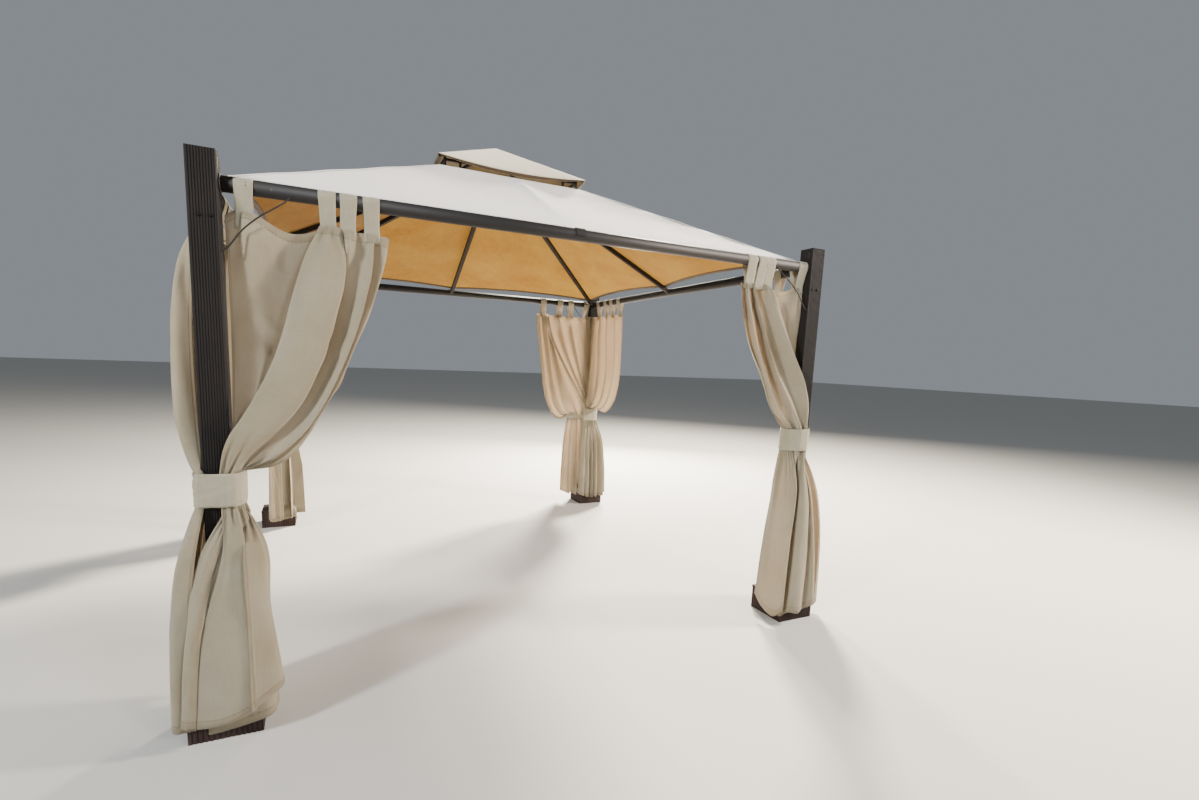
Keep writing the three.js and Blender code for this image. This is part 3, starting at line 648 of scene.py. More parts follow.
def closed_round(bm):
    """Joins a sheet's first and last columns, where it comes back to itself."""
    bmesh.ops.remove_doubles(bm, verts=bm.verts, dist=0.00005)
    bmesh.ops.recalc_face_normals(bm, faces=bm.faces)
    if sum(f.normal.z * f.calc_area() for f in bm.faces) < 0:
        bmesh.ops.reverse_faces(bm, faces=bm.faces)
    return bm


def seam_place(at, s, t):
    """A folded seam's welt on the roof cloth, down the hip at that many sides round."""
    down = 0.01 + 0.985 * t
    base = roof_place(at, down)
    ahead = (roof_place(at, min(down + 0.01, 1)) - base).normalized()
    sideways = ahead.cross(Vector((0, 0, 1))).normalized()
    away = (2 * s - 1) * SEAM_HALF
    drop = 0.72 * SLOPE * abs(away)
    return base + sideways * away + Vector((0, 0, SEAM_STANDS - drop))


def make_roof():
    lip_share = 1 / ROOF_ROWS

    def cloth(s, t):
        down = (t - lip_share) / (1 - lip_share)
        return roof_place(4 * s, -1 if t < lip_share / 2 else max(down, 0))

    bm = closed_round(cloth_grid(ROOF_COLUMNS, ROOF_ROWS, cloth, ROOF_ROUND, SLOPE_LONG))
    roof = piece_from(bm, "roof_cloth", [roof_outside, roof_inside_painted_backlight])
    add_thickness(roof, CLOTH_THICK, offset=-1, inner=1)
    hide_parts(*[f"roof_slope_{side}" for side in BEAM_TURNS])

    def hem(s, t):
        return roof_place(4 * s, 1 - (1 - t) * HEM_WIDE / (EAVE - RING), CLOTH_LEVEL + HEM_UNDER)

    # The turned-in hem under the roof's edge, painted dark brown as painted shade
    bm = closed_round(cloth_grid(ROOF_COLUMNS, 4, hem, HEM_ROUND, HEM_WIDE))
    band = piece_from(bm, "roof_hem_band", [roof_hem])
    add_thickness(band, HEM_THICK, offset=-1)

    seams = bmesh.new()
    for side in range(4):
        just_past = side + 1e-6
        strip = cloth_grid(4, 60, lambda s, t: seam_place(just_past, s, t), 2 * SEAM_HALF, SEAM_LONG)
        join_into(seams, strip)
    bmesh.ops.recalc_face_normals(seams, faces=seams.faces)
    seam = piece_from(seams, "roof_seam_welts", [roof_outside])
    add_thickness(seam, CLOTH_THICK)


# Vent cap: a small pyramid of cloth whose hem droops between its corners
CAP_SLOPE = (APEX_Z - CAP_Z) / CAP
CAP_DROOP = 0.025
CAP_TIP = 0.006
CAP_HANG = 0.03  # what hangs past the frame at the middle of each side
CAP_ROUND, CAP_LONG = 3.92, 0.59
CAP_COLUMNS, CAP_ROWS = 4 * 28, 34
CAP_HEM, CAP_HEM_OUT, CAP_HEM_THICK = 0.022, 0.0022, 0.0014


def cap_place(around, down):
    """A point of the cap's cloth: around is from 0 to 4 sides, and down from 0 at the tip to 1
    over the frame's edge. Past 1 it hangs."""
    side = min(int(around), 3)
    across = 2 * (around - side) - 1
    hang = max(down - 1, 0) * CAP * (1 - 0.8 * across * across)
    reach = CAP_TIP + (CAP - CAP_TIP) * min(down, 1)
    droop = CAP_DROOP * (1 - across * across) * (reach / CAP) ** 2
    height = APEX_Z - CAP_SLOPE * reach - droop - hang - CLOTH_LEVEL
    return turned(side, reach + 0.1 * hang, across * reach, height)


def make_vent_cap():
    whole = 1 + CAP_HANG / CAP

    def cloth(s, t):
        return cap_place(4 * s, whole * t)

    bm = closed_round(cloth_grid(CAP_COLUMNS, CAP_ROWS, cloth, CAP_ROUND, CAP_LONG))
    tip = [e for e in bm.edges if e.is_boundary and e.verts[0].co.z > APEX_Z - 0.02]
    bmesh.ops.contextual_create(bm, geom=tip)
    smooth_faces(bm)
    cap = piece_from(bm, "vent_cap_cloth", [cap_outside, cap_inside_painted_shade])
    add_thickness(cap, CLOTH_THICK, offset=-1, inner=1)
    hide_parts("vent_cap_canopy")

    def hem(s, t):
        place = cap_place(4 * s, whole - (1 - t) * CAP_HEM / CAP)
        return place + Vector((place.x, place.y, 0)).normalized() * CAP_HEM_OUT

    # The hem band round the cap's foot, painted dark brown as painted shade
    bm = closed_round(cloth_grid(CAP_COLUMNS, 4, hem, CAP_ROUND, CAP_HEM))
    band = piece_from(bm, "vent_cap_hem_band", [roof_hem])
    add_thickness(band, CAP_HEM_THICK, offset=-1)


# Curtains
def smoothed(values, at, where):
    """Smooth interpolation along the first axis: values at rising shares at, read at where."""
    values, at, where = np.asarray(values, float), np.asarray(at, float), np.asarray(where, float)
    slope = np.gradient(values, at, axis=0)
    k = np.clip(np.searchsorted(at, where, side="right") - 1, 0, len(at) - 2)
    width = at[k + 1] - at[k]
    share = ((where - at[k]) / width).reshape(-1, *[1] * (values.ndim - 1))
    width = width.reshape(share.shape)
    first, last = values[k], values[k + 1]
    return (
        (2 * share**3 - 3 * share**2 + 1) * first
        + (share**3 - 2 * share**2 + share) * width * slope[k]
        + (3 * share**2 - 2 * share**3) * last
        + (share**3 - share**2) * width * slope[k + 1]
    )


def run_along(points):
    """How far along a path each of its points lies."""
    return np.concatenate([[0], np.cumsum(np.linalg.norm(np.diff(points, axis=0), axis=1))])


def along_path(points, shares):
    """Points at those shares of a flat path's length."""
    points = np.array(points, float)
    run = run_along(points)
    return np.stack([np.interp(shares * run[-1], run, points[:, i]) for i in range(2)], axis=1)


# Each curtain hangs beside one post, and is laid out in that corner's own frame: a runs along
# the beam away from the post, o outwards. Millimetres, as the frame's source has them.
TIED_TO_POST = [[20, 62], [48, 63], [70, 56], [77, 30], [78, -8], [78, -42]]
SKIRT_ROUND_POST = [[-114, 148], [20, 152], [110, 150], [154, 142], [174, 106], [182, -60]]
WIDE_SKIRT = [[-114, 168], [20, 182], [110, 172], [152, 142], [162, 92], [156, -20]]
TIED_INSIDE = [[30, -64], [68, -62], [80, -30], [82, 10], [76, 50], [40, 64]]
SKIRT_INSIDE = [[0, -140], [104, -146], [160, -110], [182, -20], [172, 90], [104, 140]]
TIED_ROUND_CORNER = [[-56, 44], [-46, 58], [0, 64], [48, 63], [70, 56], [78, 10], [78, -42]]
SKIRT_ROUND_CORNER = [[-138, 98], [-122, 128], [-88, 142], [40, 148], [140, 140], [170, 100], [178, -60]]

# The two front curtains are laid out thread by thread, from the post outwards. A thread is
# (share of the cloth's width, places (a, o, z) from the beam down, place (a, o) in the tie,
# places (a, o) a fifth down the skirt, halfway down and at the hem, height of the hem).
FRONT_LEFT_THREADS = [
    (0.00, [(62, 0, 2086), (66, -2, 1850), (66, 2, 1600), (62, 14, 1400), (56, 42, 1230), (44, 58, 1150)],
     (30, 60), [(-6, 76), (-56, 122), (-96, 150)], 96),
    (0.05, [(96, 4, 2108), (97, 2, 1850), (96, 0, 1600), (86, 12, 1400), (68, 42, 1230), (54, 58, 1150)],
     (40, 61), [(-56, 92), (-112, 142), (-142, 166)], 104),
    (0.11, [(152, 6, 2108), (162, 26, 2030), (164, 14, 1900), (156, -6, 1600), (126, 8, 1400),
     (88, 40, 1230), (64, 58, 1150)], (50, 62), [(-30, 108), (-92, 162), (-122, 186)], 100),
    (0.19, [(285, 0, 2046), (270, -12, 1900), (252, -20, 1750), (222, -18, 1560), (166, 4, 1400),
     (106, 36, 1250), (74, 56, 1150)], (58, 60), [(-4, 98), (-66, 152), (-100, 180)], 94),
    (0.27, [(424, -16, 2086), (410, -20, 1960), (392, -22, 1820), (346, -20, 1640), (282, -8, 1470),
     (206, 12, 1330), (128, 38, 1210), (82, 54, 1150)], (64, 62), [(-2, 82), (-58, 145), (-88, 173)], 90),
    (0.34, [(390, 8, 2088), (340, 24, 1974), (291, 40, 1819), (248, 48, 1648), (208, 52, 1525),
     (162, 58, 1426), (109, 66, 1328), (57, 76, 1239), (33, 80, 1166)], (20, 72),
     [(12, 92), (-52, 152), (-84, 176)], 88),
    (0.42, [(428, 16, 2092), (414, 40, 1960), (378, 62, 1810), (334, 76, 1650), (290, 78, 1520),
     (236, 82, 1420), (172, 86, 1310), (108, 90, 1220), (66, 88, 1150)], (42, 82),
     [(46, 108), (26, 170), (14, 194)], 94),
    (0.50, [(470, 6, 2090), (486, 26, 1960), (480, 38, 1870), (450, 46, 1740), (416, 50, 1600),
     (370, 54, 1490), (306, 60, 1360), (226, 68, 1262), (150, 72, 1185)], (64, 76),
     [(92, 98), (106, 160), (114, 184)], 128),
    (0.56, [(452, -22, 2086), (446, -26, 1960), (436, -30, 1870), (408, -26, 1740), (372, -20, 1600),
     (326, -8, 1490), (262, 10, 1360), (188, 32, 1262), (122, 50, 1185)], (72, 62),
     [(36, 72), (-30, 110), (-58, 144)], 36),
    (0.62, [(500, 22, 2084), (500, 30, 2010), (474, -6, 1900), (440, -18, 1760), (396, -14, 1600),
     (346, -2, 1490), (280, 16, 1360), (204, 36, 1262), (132, 52, 1185)], (76, 54),
     [(112, 44), (134, 102), (150, 140)], 62),
    (0.68, [(530, 0, 2082), (534, -4, 1990), (514, 12, 1870), (472, 16, 1700), (432, 18, 1570),
     (382, 24, 1450), (318, 34, 1340), (242, 48, 1250), (160, 60, 1175)], (80, 46),
     [(124, 6), (164, 48), (186, 60)], 70),
    (0.77, [(604, 12, 2080), (592, 30, 1950), (571, 38, 1830), (534, 44, 1700), (494, 48, 1590),
     (433, 54, 1446), (367, 60, 1316), (303, 66, 1230), (206, 70, 1150)], (84, 32),
     [(104, -38), (152, -20), (178, -26)], 82),
    (0.82, [(586, -14, 2076), (566, -20, 1950), (544, -18, 1830), (506, -14, 1700), (466, -8, 1590),
     (404, 2, 1446), (338, 16, 1316), (276, 28, 1225), (184, 42, 1140)], (78, 14),
     [(150, 16), (168, 38), (204, 42)], 160),
    (0.89, [(634, 6, 2076), (622, 8, 1960), (592, 8, 1830), (546, 8, 1700), (500, 10, 1580),
     (440, 14, 1440), (374, 22, 1320), (306, 30, 1215), (200, 38, 1122)], (82, -4),
     [(152, 62), (170, 102), (208, 118)], 176),
    (1.00, [(662, 2, 2070), (650, 0, 1990), (616, -2, 1869), (565, -2, 1710), (514, 0, 1604),
     (455, 4, 1463), (389, 8, 1349), (332, 12, 1235), (230, 16, 1118)], (80, -40),
     [(86, 116), (96, 178), (98, 204)], 134),
]
FRONT_RIGHT_THREADS = [
    (0.00, [(46, 0, 2056), (56, -2, 1880), (62, -6, 1700), (64, 4, 1560), (62, 40, 1440), (44, 60, 1330)],
     (14, 60), [(-18, 72), (-52, 112), (-90, 142)], 100),
    (0.06, [(80, 3, 2070), (88, 0, 1880), (94, -10, 1700), (92, 0, 1560), (82, 36, 1440), (56, 60, 1330)],
     (18, 61), [(-46, 92), (-86, 138), (-124, 156)], 96),
    (0.13, [(132, 4, 2070), (146, -2, 1880), (152, -16, 1700), (142, -6, 1560), (110, 26, 1440),
     (72, 56, 1330)], (24, 62), [(-22, 116), (-58, 162), (-84, 182)], 104),
    (0.21, [(222, 0, 2044), (224, -26, 1880), (214, -36, 1720), (184, -26, 1580), (138, 10, 1440),
     (86, 50, 1330)], (30, 60), [(0, 74), (-22, 112), (-24, 146)], 70),
    (0.29, [(352, -22, 2064), (330, -26, 1950), (296, -28, 1830), (248, -20, 1700), (176, 4, 1550),
     (112, 36, 1420), (74, 54, 1330)], (36, 64), [(-16, 110), (-20, 152), (-6, 170)], 90),
    (0.36, [(326, 8, 2068), (280, 26, 2000), (240, 32, 1900), (214, 38, 1832), (175, 50, 1726),
     (110, 64, 1588), (41, 74, 1463), (10, 78, 1367)], (-6, 68), [(20, 134), (32, 180), (50, 194)], 74),
    (0.43, [(356, 20, 2072), (310, 42, 1947), (256, 54, 1850), (202, 64, 1756), (132, 76, 1640),
     (70, 88, 1526), (28, 94, 1384)], (8, 82), [(46, 112), (84, 160), (106, 176)], 82),
    (0.51, [(398, -24, 2066), (384, -34, 1947), (350, -34, 1850), (304, -26, 1756), (240, -8, 1640),
     (162, 22, 1526), (86, 56, 1384)], (30, 62), [(40, 56), (84, 62), (122, 140)], 50),
    (0.60, [(450, 16, 2072), (420, 38, 1950), (362, 52, 1793), (312, 62, 1670), (264, 70, 1568),
     (165, 84, 1398), (110, 90, 1303)], (52, 84), [(74, 52), (116, 62), (156, 140)], 50),
    (0.68, [(436, -26, 2066), (404, -34, 1950), (354, -32, 1793), (308, -24, 1670), (266, -12, 1568),
     (184, 20, 1398), (134, 44, 1303)], (68, 54), [(72, 112), (132, 160), (162, 178)], 92),
    (0.79, [(496, 16, 2072), (474, 36, 1930), (416, 44, 1740), (345, 48, 1600), (288, 54, 1480),
     (226, 60, 1350), (172, 62, 1290)], (92, 46), [(116, 98), (176, 130), (208, 140)], 58),
    (0.89, [(490, -20, 2066), (460, -34, 1930), (406, -34, 1740), (334, -32, 1600), (276, -22, 1480),
     (220, -6, 1350), (166, 8, 1290)], (96, 16), [(146, 34), (190, 56), (214, 64)], 82),
    (1.00, [(530, 2, 2070), (504, 2, 1930), (448, 0, 1760), (382, 0, 1640), (346, 0, 1590), (284, 2, 1471),
     (244, 2, 1376), (184, -6, 1295)], (90, -36), [(118, -34), (160, -38), (190, -46)], 132),
]

# At the back right corner the curtain on the back beam is parted: its near half crosses in front
# to the post's tie, and the rest hangs in a bag from its own strap.
BACK_RIGHT_THREADS = [
    (0.00, [(52, -58, 2066), (50, -64, 1850), (36, -68, 1650), (18, -72, 1430), (0, -78, 1235),
     (-16, -84, 1065)], (-24, -86), [(-40, -100), (-62, -124), (-74, -140)], 100),
    (0.06, [(96, -12, 2070), (84, -56, 1850), (66, -78, 1650), (46, -84, 1430), (20, -90, 1235),
     (-2, -96, 1065)], (-12, -98), [(-26, -128), (-42, -158), (-50, -174)], 88),
    (0.13, [(212, -40, 2052), (183, -64, 1849), (149, -70, 1663), (108, -76, 1427), (65, -86, 1235),
     (23, -94, 1065)], (4, -98), [(0, -118), (-14, -140), (-20, -152)], 84),
    (0.19, [(262, -4, 2064), (228, -24, 1849), (184, -34, 1663), (128, -48, 1427), (76, -66, 1235),
     (28, -84, 1065)], (16, -88), [(14, -132), (4, -166), (0, -182)], 80),
    (0.25, [(330, -40, 2052), (300, -66, 1842), (250, -72, 1659), (166, -78, 1425), (100, -88, 1235),
     (39, -96, 1065)], (28, -100), [(34, -116), (30, -140), (28, -152)], 84),
    (0.31, [(392, 0, 2064), (350, -24, 1842), (292, -36, 1659), (196, -50, 1425), (114, -70, 1235),
     (46, -88, 1065)], (40, -88), [(54, -130), (56, -164), (56, -180)], 88),
    (0.37, [(470, -40, 2054), (432, -66, 1835), (352, -74, 1654), (231, -80, 1423), (131, -88, 1234),
     (58, -96, 1065)], (54, -98), [(74, -112), (82, -134), (84, -146)], 94),
    (0.43, [(520, -6, 2064), (476, -30, 1840), (392, -42, 1654), (262, -54, 1423), (150, -74, 1234),
     (68, -90, 1065)], (66, -88), [(90, -124), (104, -152), (108, -166)], 100),
    (0.49, [(560, -40, 2060), (498, -72, 1835), (408, -80, 1652), (286, -86, 1422), (180, -92, 1234),
     (90, -98, 1065)], (80, -96), [(108, -100), (126, -118), (132, -128)], 108),
    (0.53, [(612, -44, 2050), (529, -74, 1830), (435, -80, 1651), (313, -84, 1422), (202, -88, 1234),
     (102, -92, 1066)], (92, -80), [(112, -70), (126, -80), (132, -84)], 114),
    (0.58, [(590, -30, 2064), (500, -20, 1850), (402, -16, 1650), (290, -10, 1430), (196, -16, 1240),
     (130, -20, 1090)], (118, -14), [(104, -16), (96, -24), (92, -30)], 118),
    (0.65, [(500, 26, 2066), (470, 26, 1850), (410, 24, 1650), (340, 20, 1430), (262, 10, 1240),
     (190, 0, 1090)], (142, 12), [(128, 30), (118, 44), (112, 52)], 100),
    (0.72, [(560, -30, 2064), (536, -40, 1900), (492, -44, 1700), (446, -42, 1480), (402, -38, 1300),
     (340, -30, 1120), (262, -18, 1020)], (166, -18), [(160, -36), (152, -56), (146, -66)], 92),
    (0.79, [(536, 24, 2066), (520, 24, 1900), (490, 24, 1700), (456, 22, 1480), (420, 18, 1300),
     (366, 10, 1120), (290, 6, 1010)], (190, 14), [(190, 32), (188, 50), (186, 60)], 100),
    (0.86, [(610, -22, 2062), (592, -26, 1900), (560, -28, 1700), (524, -28, 1480), (488, -26, 1280),
     (430, -18, 1090), (330, -10, 985)], (216, -14), [(224, -32), (232, -52), (236, -62)], 108),
    (0.93, [(596, 20, 2066), (588, 22, 1900), (566, 22, 1700), (534, 20, 1480), (502, 16, 1270),
     (446, 10, 1080), (360, 6, 970)], (242, 12), [(262, 26), (280, 40), (290, 48)], 124),
    (1.00, [(654, 2, 2066), (640, 2, 1900), (612, 2, 1700), (583, 0, 1482), (555, 0, 1284), (492, 0, 1083),
     (415, 0, 968), (341, 0, 948), (300, 0, 960)], (262, -6), [(300, -14), (326, -24), (334, -28)], 150),
]
BACK_RIGHT_SIDE_THREADS = [
    (0.00, [(62, -40, 2066), (60, -56, 1850), (52, -62, 1600), (44, -66, 1400), (38, -68, 1200),
     (34, -66, 1100)], (30, -66), [(84, -60), (96, -70), (102, -76)], 96),
    (0.08, [(110, -6, 2068), (112, -24, 1850), (104, -36, 1600), (90, -46, 1400), (72, -56, 1200),
     (60, -62, 1100)], (56, -66), [(104, -62), (126, -56), (134, -52)], 84),
    (0.18, [(150, -44, 2056), (160, -54, 1850), (164, -56, 1600), (152, -58, 1400), (122, -62, 1200),
     (92, -66, 1100)], (72, -62), [(104, -30), (122, -30), (130, -30)], 90),
    (0.27, [(200, 4, 2068), (212, 0, 1850), (222, -2, 1600), (208, -10, 1400), (164, -26, 1200),
     (120, -44, 1100)], (74, -44), [(122, -20), (152, -20), (164, -20)], 84),
    (0.37, [(262, -30, 2056), (286, -44, 1850), (304, -46, 1600), (292, -44, 1400), (236, -40, 1200),
     (160, -36, 1110)], (82, -34), [(108, 0), (130, 0), (140, 2)], 92),
    (0.48, [(322, 6, 2070), (364, -20, 1850), (398, -28, 1600), (390, -30, 1400), (324, -28, 1210),
     (210, -22, 1110)], (78, -14), [(126, 18), (158, 22), (172, 24)], 86),
    (0.60, [(400, -16, 2060), (452, -30, 1850), (492, -36, 1600), (484, -38, 1400), (406, -34, 1225),
     (262, -16, 1110)], (86, -2), [(110, 40), (134, 50), (146, 56)], 94),
    (0.72, [(470, 8, 2070), (530, -16, 1850), (570, -26, 1600), (560, -30, 1400), (476, -26, 1230),
     (310, -8, 1105)], (80, 18), [(122, 66), (154, 88), (166, 98)], 96),
    (0.84, [(570, -10, 2062), (616, -18, 1850), (640, -24, 1600), (626, -26, 1400), (536, -20, 1225),
     (352, 0, 1090)], (84, 34), [(96, 84), (118, 112), (128, 124)], 106),
    (0.93, [(640, 6, 2068), (668, -4, 1850), (680, -8, 1600), (662, -8, 1400), (572, -4, 1210),
     (384, 8, 1075)], (72, 50), [(80, 104), (92, 136), (98, 150)], 120),
    (1.00, [(690, 4, 2066), (702, 2, 1850), (704, 0, 1600), (682, 0, 1380), (592, 4, 1190),
     (400, 14, 1060)], (60, 60), [(50, 96), (54, 126), (56, 140)], 140),
]

# The side curtain's folds are deepened between its edges: every second thread stands out, the
# others stand in, by more on the threads near the post than on those from FAR_THREAD on
NEAR_DEEPER, FAR_DEEPER, FAR_THREAD = 24, 14, 7
DEEPER_DOWN = (0.4, 0.9, 1.1, 1.1, 0.9, 0.5)  # share of that at each place from the beam down
SKIRT_OUT, SKIRT_IN = (0.14, 0.2, 0.22), (-0.06, -0.08, -0.08)  # share further from the post's middle


def deepened(threads):
    """The same threads, to the millimetre, with every second one out and the others in."""
    made = [threads[0]]
    for k, (share, upper, tied, lower, hem) in enumerate(threads[1:-1], start=1):
        side, skirt = (1, SKIRT_OUT) if k % 2 else (-1, SKIRT_IN)
        deeper = side * (NEAR_DEEPER if k < FAR_THREAD else FAR_DEEPER)
        upper = [(a, round(o + deeper * part), z) for (a, o, z), part in zip(upper, DEEPER_DOWN)]
        lower = [(round(a * (1 + more)), round(o * (1 + more))) for (a, o), more in zip(lower, skirt)]
        made.append((share, upper, tied, lower, hem))
    return [*made, threads[-1]]



# How a curtain's far edge swings in to the tie, pulled tight or loose in a belly: how far down the
# swing starts, how far out the cloth still is beside the tie, and how low it has sunk there
TIGHT = {"down": 375, "out": 190, "low": 23}
CLOSE = {"down": 320, "out": 70, "low": 0}
LOOSE = {"down": 620, "out": 540, "low": 80}
BELLY = {"down": 570, "out": 293, "low": 175}

# Each curtain: far is where its far edge hangs on the beam, tie the height of the middle of its
# tie, and tabs where its tabs are. A free one hangs that far out in a strap of its own, and a
# parted one leaves that share of its width with the post's tie. billow and inside are how far it
# bellies outwards and stands inwards, tied and skirt its paths in plan at the tie and at the hem,
# and dents the (across in metres, down in metres, depth) of places pushed in or out by hand.
CURTAINS = [
    {"corner": "front_left", "beam": "front", "far": 655, "tie": 1022, "tabs": [126, 426, 497, 594],
     "threads": FRONT_LEFT_THREADS, "dents": [(0.16, 0.4, 12), (0.2, 0.47, -11), (0.46, 0.42, -8)]},
    {"corner": "front_left", "beam": "left", "far": 600, "tie": 1022, "tabs": [110, 330, 430, 545],
     "billow": 130, "tied": TIED_ROUND_CORNER, "skirt": SKIRT_ROUND_CORNER},
    {"corner": "front_right", "beam": "front", "far": 545, "tie": 1155, "tabs": [94, 334, 401, 470],
     "threads": FRONT_RIGHT_THREADS},
    {"corner": "front_right", "beam": "right", "far": 560, "tie": 1155, "tabs": [110, 260, 390, 500],
     "billow": 24, "swing": CLOSE, "skirt": WIDE_SKIRT},
    {"corner": "back_right", "beam": "right", "far": 700, "tie": 1005, "tabs": [180, 350, 480, 640],
     "threads": deepened(BACK_RIGHT_SIDE_THREADS)},
    {"corner": "back_right", "beam": "back", "far": 640, "tie": 975, "tabs": [92, 267, 400, 582],
     "threads": BACK_RIGHT_THREADS, "free": 205, "parted": 0.55},
    {"corner": "back_left", "beam": "back", "far": 640, "tie": 1005, "tabs": [110, 270, 415, 560],
     "swing": LOOSE, "tied": TIED_INSIDE, "skirt": SKIRT_INSIDE, "inside": 60},
    {"corner": "back_left", "beam": "left", "far": 640, "tie": 975, "tabs": [110, 270, 415, 560],
     "billow": 20, "swing": BELLY, "free": 240, "inside": 55},
]

TIE_ROOM, STRAP_ROOM = 140, 75  # height of the gathered cloth in a post's tie, and in a strap
TIE_SHARE = 0.53  # of the curtain's length, at the middle of the tie
TIE_FROM, TIE_TO = 0.93, 1.07  # of that share, where the hanging part ends and the skirt starts
CURTAIN_COLUMNS, CURTAIN_ROWS = 190, 104
NEAR_EDGE = 62  # where the curtain's near edge hangs on the beam, from the post's middle
HEM_NEAR, HEM_RISE = 62, 90  # the hem's height at the post, and how much higher its far end is
BAG_HALF = 62  # half the width of a bundle in its strap
BAG_HEM = (-55, 60, 175)  # the near end, middle and far end of its hem, from the strap's middle
PATH_STEPS = 80
PLEAT_DEEP = 48
PLEAT_KNOTS = [0, 0.07, 0.34, 0.46, 0.5, 0.57, 0.68, 1]  # shares of the length
LONG_CREASE, SLANT_CREASE, GATHER_DEEP = 4, 1.4, 8
GATHERS = 15  # close gathers across the cloth beside the tie
HANDLING_CREASES, HANDLING_DEEP = 34, 5
DENT_WIDE, DENT_HIGH = 0.07, 0.028
FAN_DEEP = 7


def tie_heights(curtain):
    room = STRAP_ROOM if "free" in curtain else TIE_ROOM
    return curtain["tie"] + room / 2, curtain["tie"] - room / 2


def stretches(down):
    """For shares down the cloth: the way to the tie, the way from the tie to the hem, and how far
    the hanging part has given way to the skirt between the two."""
    to_tie = np.clip(down / (TIE_FROM * TIE_SHARE), 0, 1)
    to_hem = np.clip((down - TIE_TO * TIE_SHARE) / (1 - TIE_TO * TIE_SHARE), 0, 1)
    skirt = np.clip((down / TIE_SHARE - TIE_FROM) / (TIE_TO - TIE_FROM), 0, 1)
    return to_tie, to_hem, skirt[:, None]


def laid_out(curtain, down):
    """(shares, places[row, thread]) of a curtain that is given thread by thread."""
    top, low = tie_heights(curtain)
    to_tie, to_hem, skirt = stretches(down)
    places = []
    for _, upper, tied, lower, hem in curtain["threads"]:
        upper = np.array([*upper, (*tied, top)], float)
        run = run_along(upper)
        above = smoothed(upper, run / run[-1], to_tie)
        flat = smoothed([tied, *lower], [0, 0.2, 0.56, 1], to_hem)
        below = np.column_stack([flat, low + (hem - low) * to_hem])
        places.append(above * (1 - skirt) + below * skirt)
    return np.array([thread[0] for thread in curtain["threads"]]), np.stack(places, axis=1)


def pleats(curtain):
    """Threads of a curtain whose pleats follow from its tabs: (share of the width, place on the
    beam, droop, sideways shift halfway down, depth at the top, halfway down and at the hem)."""
    tabs, far = curtain["tabs"], curtain["far"]
    sewn = np.linspace(0.06, 0.94, len(tabs))
    made = [(0.0, NEAR_EDGE, 10, 0, 0, -12, 4)]
    for k, (place, share) in enumerate(zip(tabs, sewn, strict=True)):
        deep = PLEAT_DEEP + 9 * math.sin(2.4 * k + far)
        made.append((share + 0.02 * (k == 0), place, 0, 6 * math.sin(k + far), 3, deep, deep + 4))
        if k == len(tabs) - 1:
            break
        gap, step = tabs[k + 1] - place, sewn[k + 1] - share
        slack = max(step * CURTAIN_WIDE * 1000 - gap, 20)
        over = 26 + 14 * math.sin(1.7 * k + far / 50)
        for along, out, droop, shift, top_deep, mid_deep, hem_deep in (
            (0.28, 0.4, 14, over, 0.1, 0.55, 0.6),
            (0.52, 0.5, 20, 4, -0.14, -1, -0.75),
            (0.78, 0.66, 12, -0.5 * over, 0.06, 0.1, 0.3),
        ):
            made.append((share + along * step, place + out * gap, droop, shift,
                         top_deep * slack, mid_deep * deep, hem_deep * deep))
    made.append((1.0, far, 12, 0, 0, -10, 0))
    return made


def followed(path, w):
    """Points at shares w of a flat path that is first laid out in even steps."""
    fine = np.linspace(0, 1, PATH_STEPS + 1)
    even = along_path(path, fine)
    return [np.interp(w, fine, even[:, i]) for i in range(2)]


def plain_hang(curtain, down, w, droop):
    """Places down the cloth before it is pleated. w is from 0 at the curtain's near edge to 1 at
    its far edge, and droop is how far its top hangs below the tabs."""
    t, u, skirt = stretches(down)
    top, low = tie_heights(curtain)
    swing, free = curtain.get("swing", TIGHT), curtain.get("free")
    if free:
        tie_path = [[free - BAG_HALF, 4], [free, -4], [free + BAG_HALF, 4]]
        hem_path = [[free + a, o] for a, o in zip(BAG_HEM, (8, -8, 8), strict=True)]
    else:
        tie_path, hem_path = curtain.get("tied", TIED_TO_POST), curtain.get("skirt", SKIRT_ROUND_POST)
    w = np.clip(w, 0, 1)
    a, o = followed(tie_path, w)
    start, highest = NEAR_EDGE + (curtain["far"] - NEAR_EDGE) * w, CURTAIN_TOP * 1000
    bend = [
        (start, 0, highest - droop),
        (start - 20 * w, 0.35 * o * (1 - w), highest - swing["down"]),
        (np.maximum(a, 70) + swing["out"] * w, o + 8, top + 195 * (1 - w) - swing["low"]),
        (a, o, top),
    ]
    weights = [(1 - t) ** 3, 3 * (1 - t) ** 2 * t, 3 * (1 - t) * t**2, t**3]
    curve = zip(weights, bend, strict=True)
    above = sum(k[:, None] * np.stack(np.broadcast_arrays(*point), 1) for k, point in curve)
    above[:, 1] -= curtain.get("inside", 0) * (1 - w) ** 3 * np.minimum(6 * t, 1) * (1 - t)
    belly = np.sin(math.pi * np.sqrt(t)) * np.sin(math.pi * np.minimum(0.15 + w, 1))
    above[:, 1] += curtain.get("billow", 0) * belly
    x, y = followed(hem_path, w)
    spread = 1 - (1 - u) ** 3.6
    hem = HEM_NEAR + HEM_RISE * w
    below = np.stack([a + (x - a) * spread, o + (y - o) * spread, low + (hem - low) * u], 1)
    return above * (1 - skirt) + below * skirt


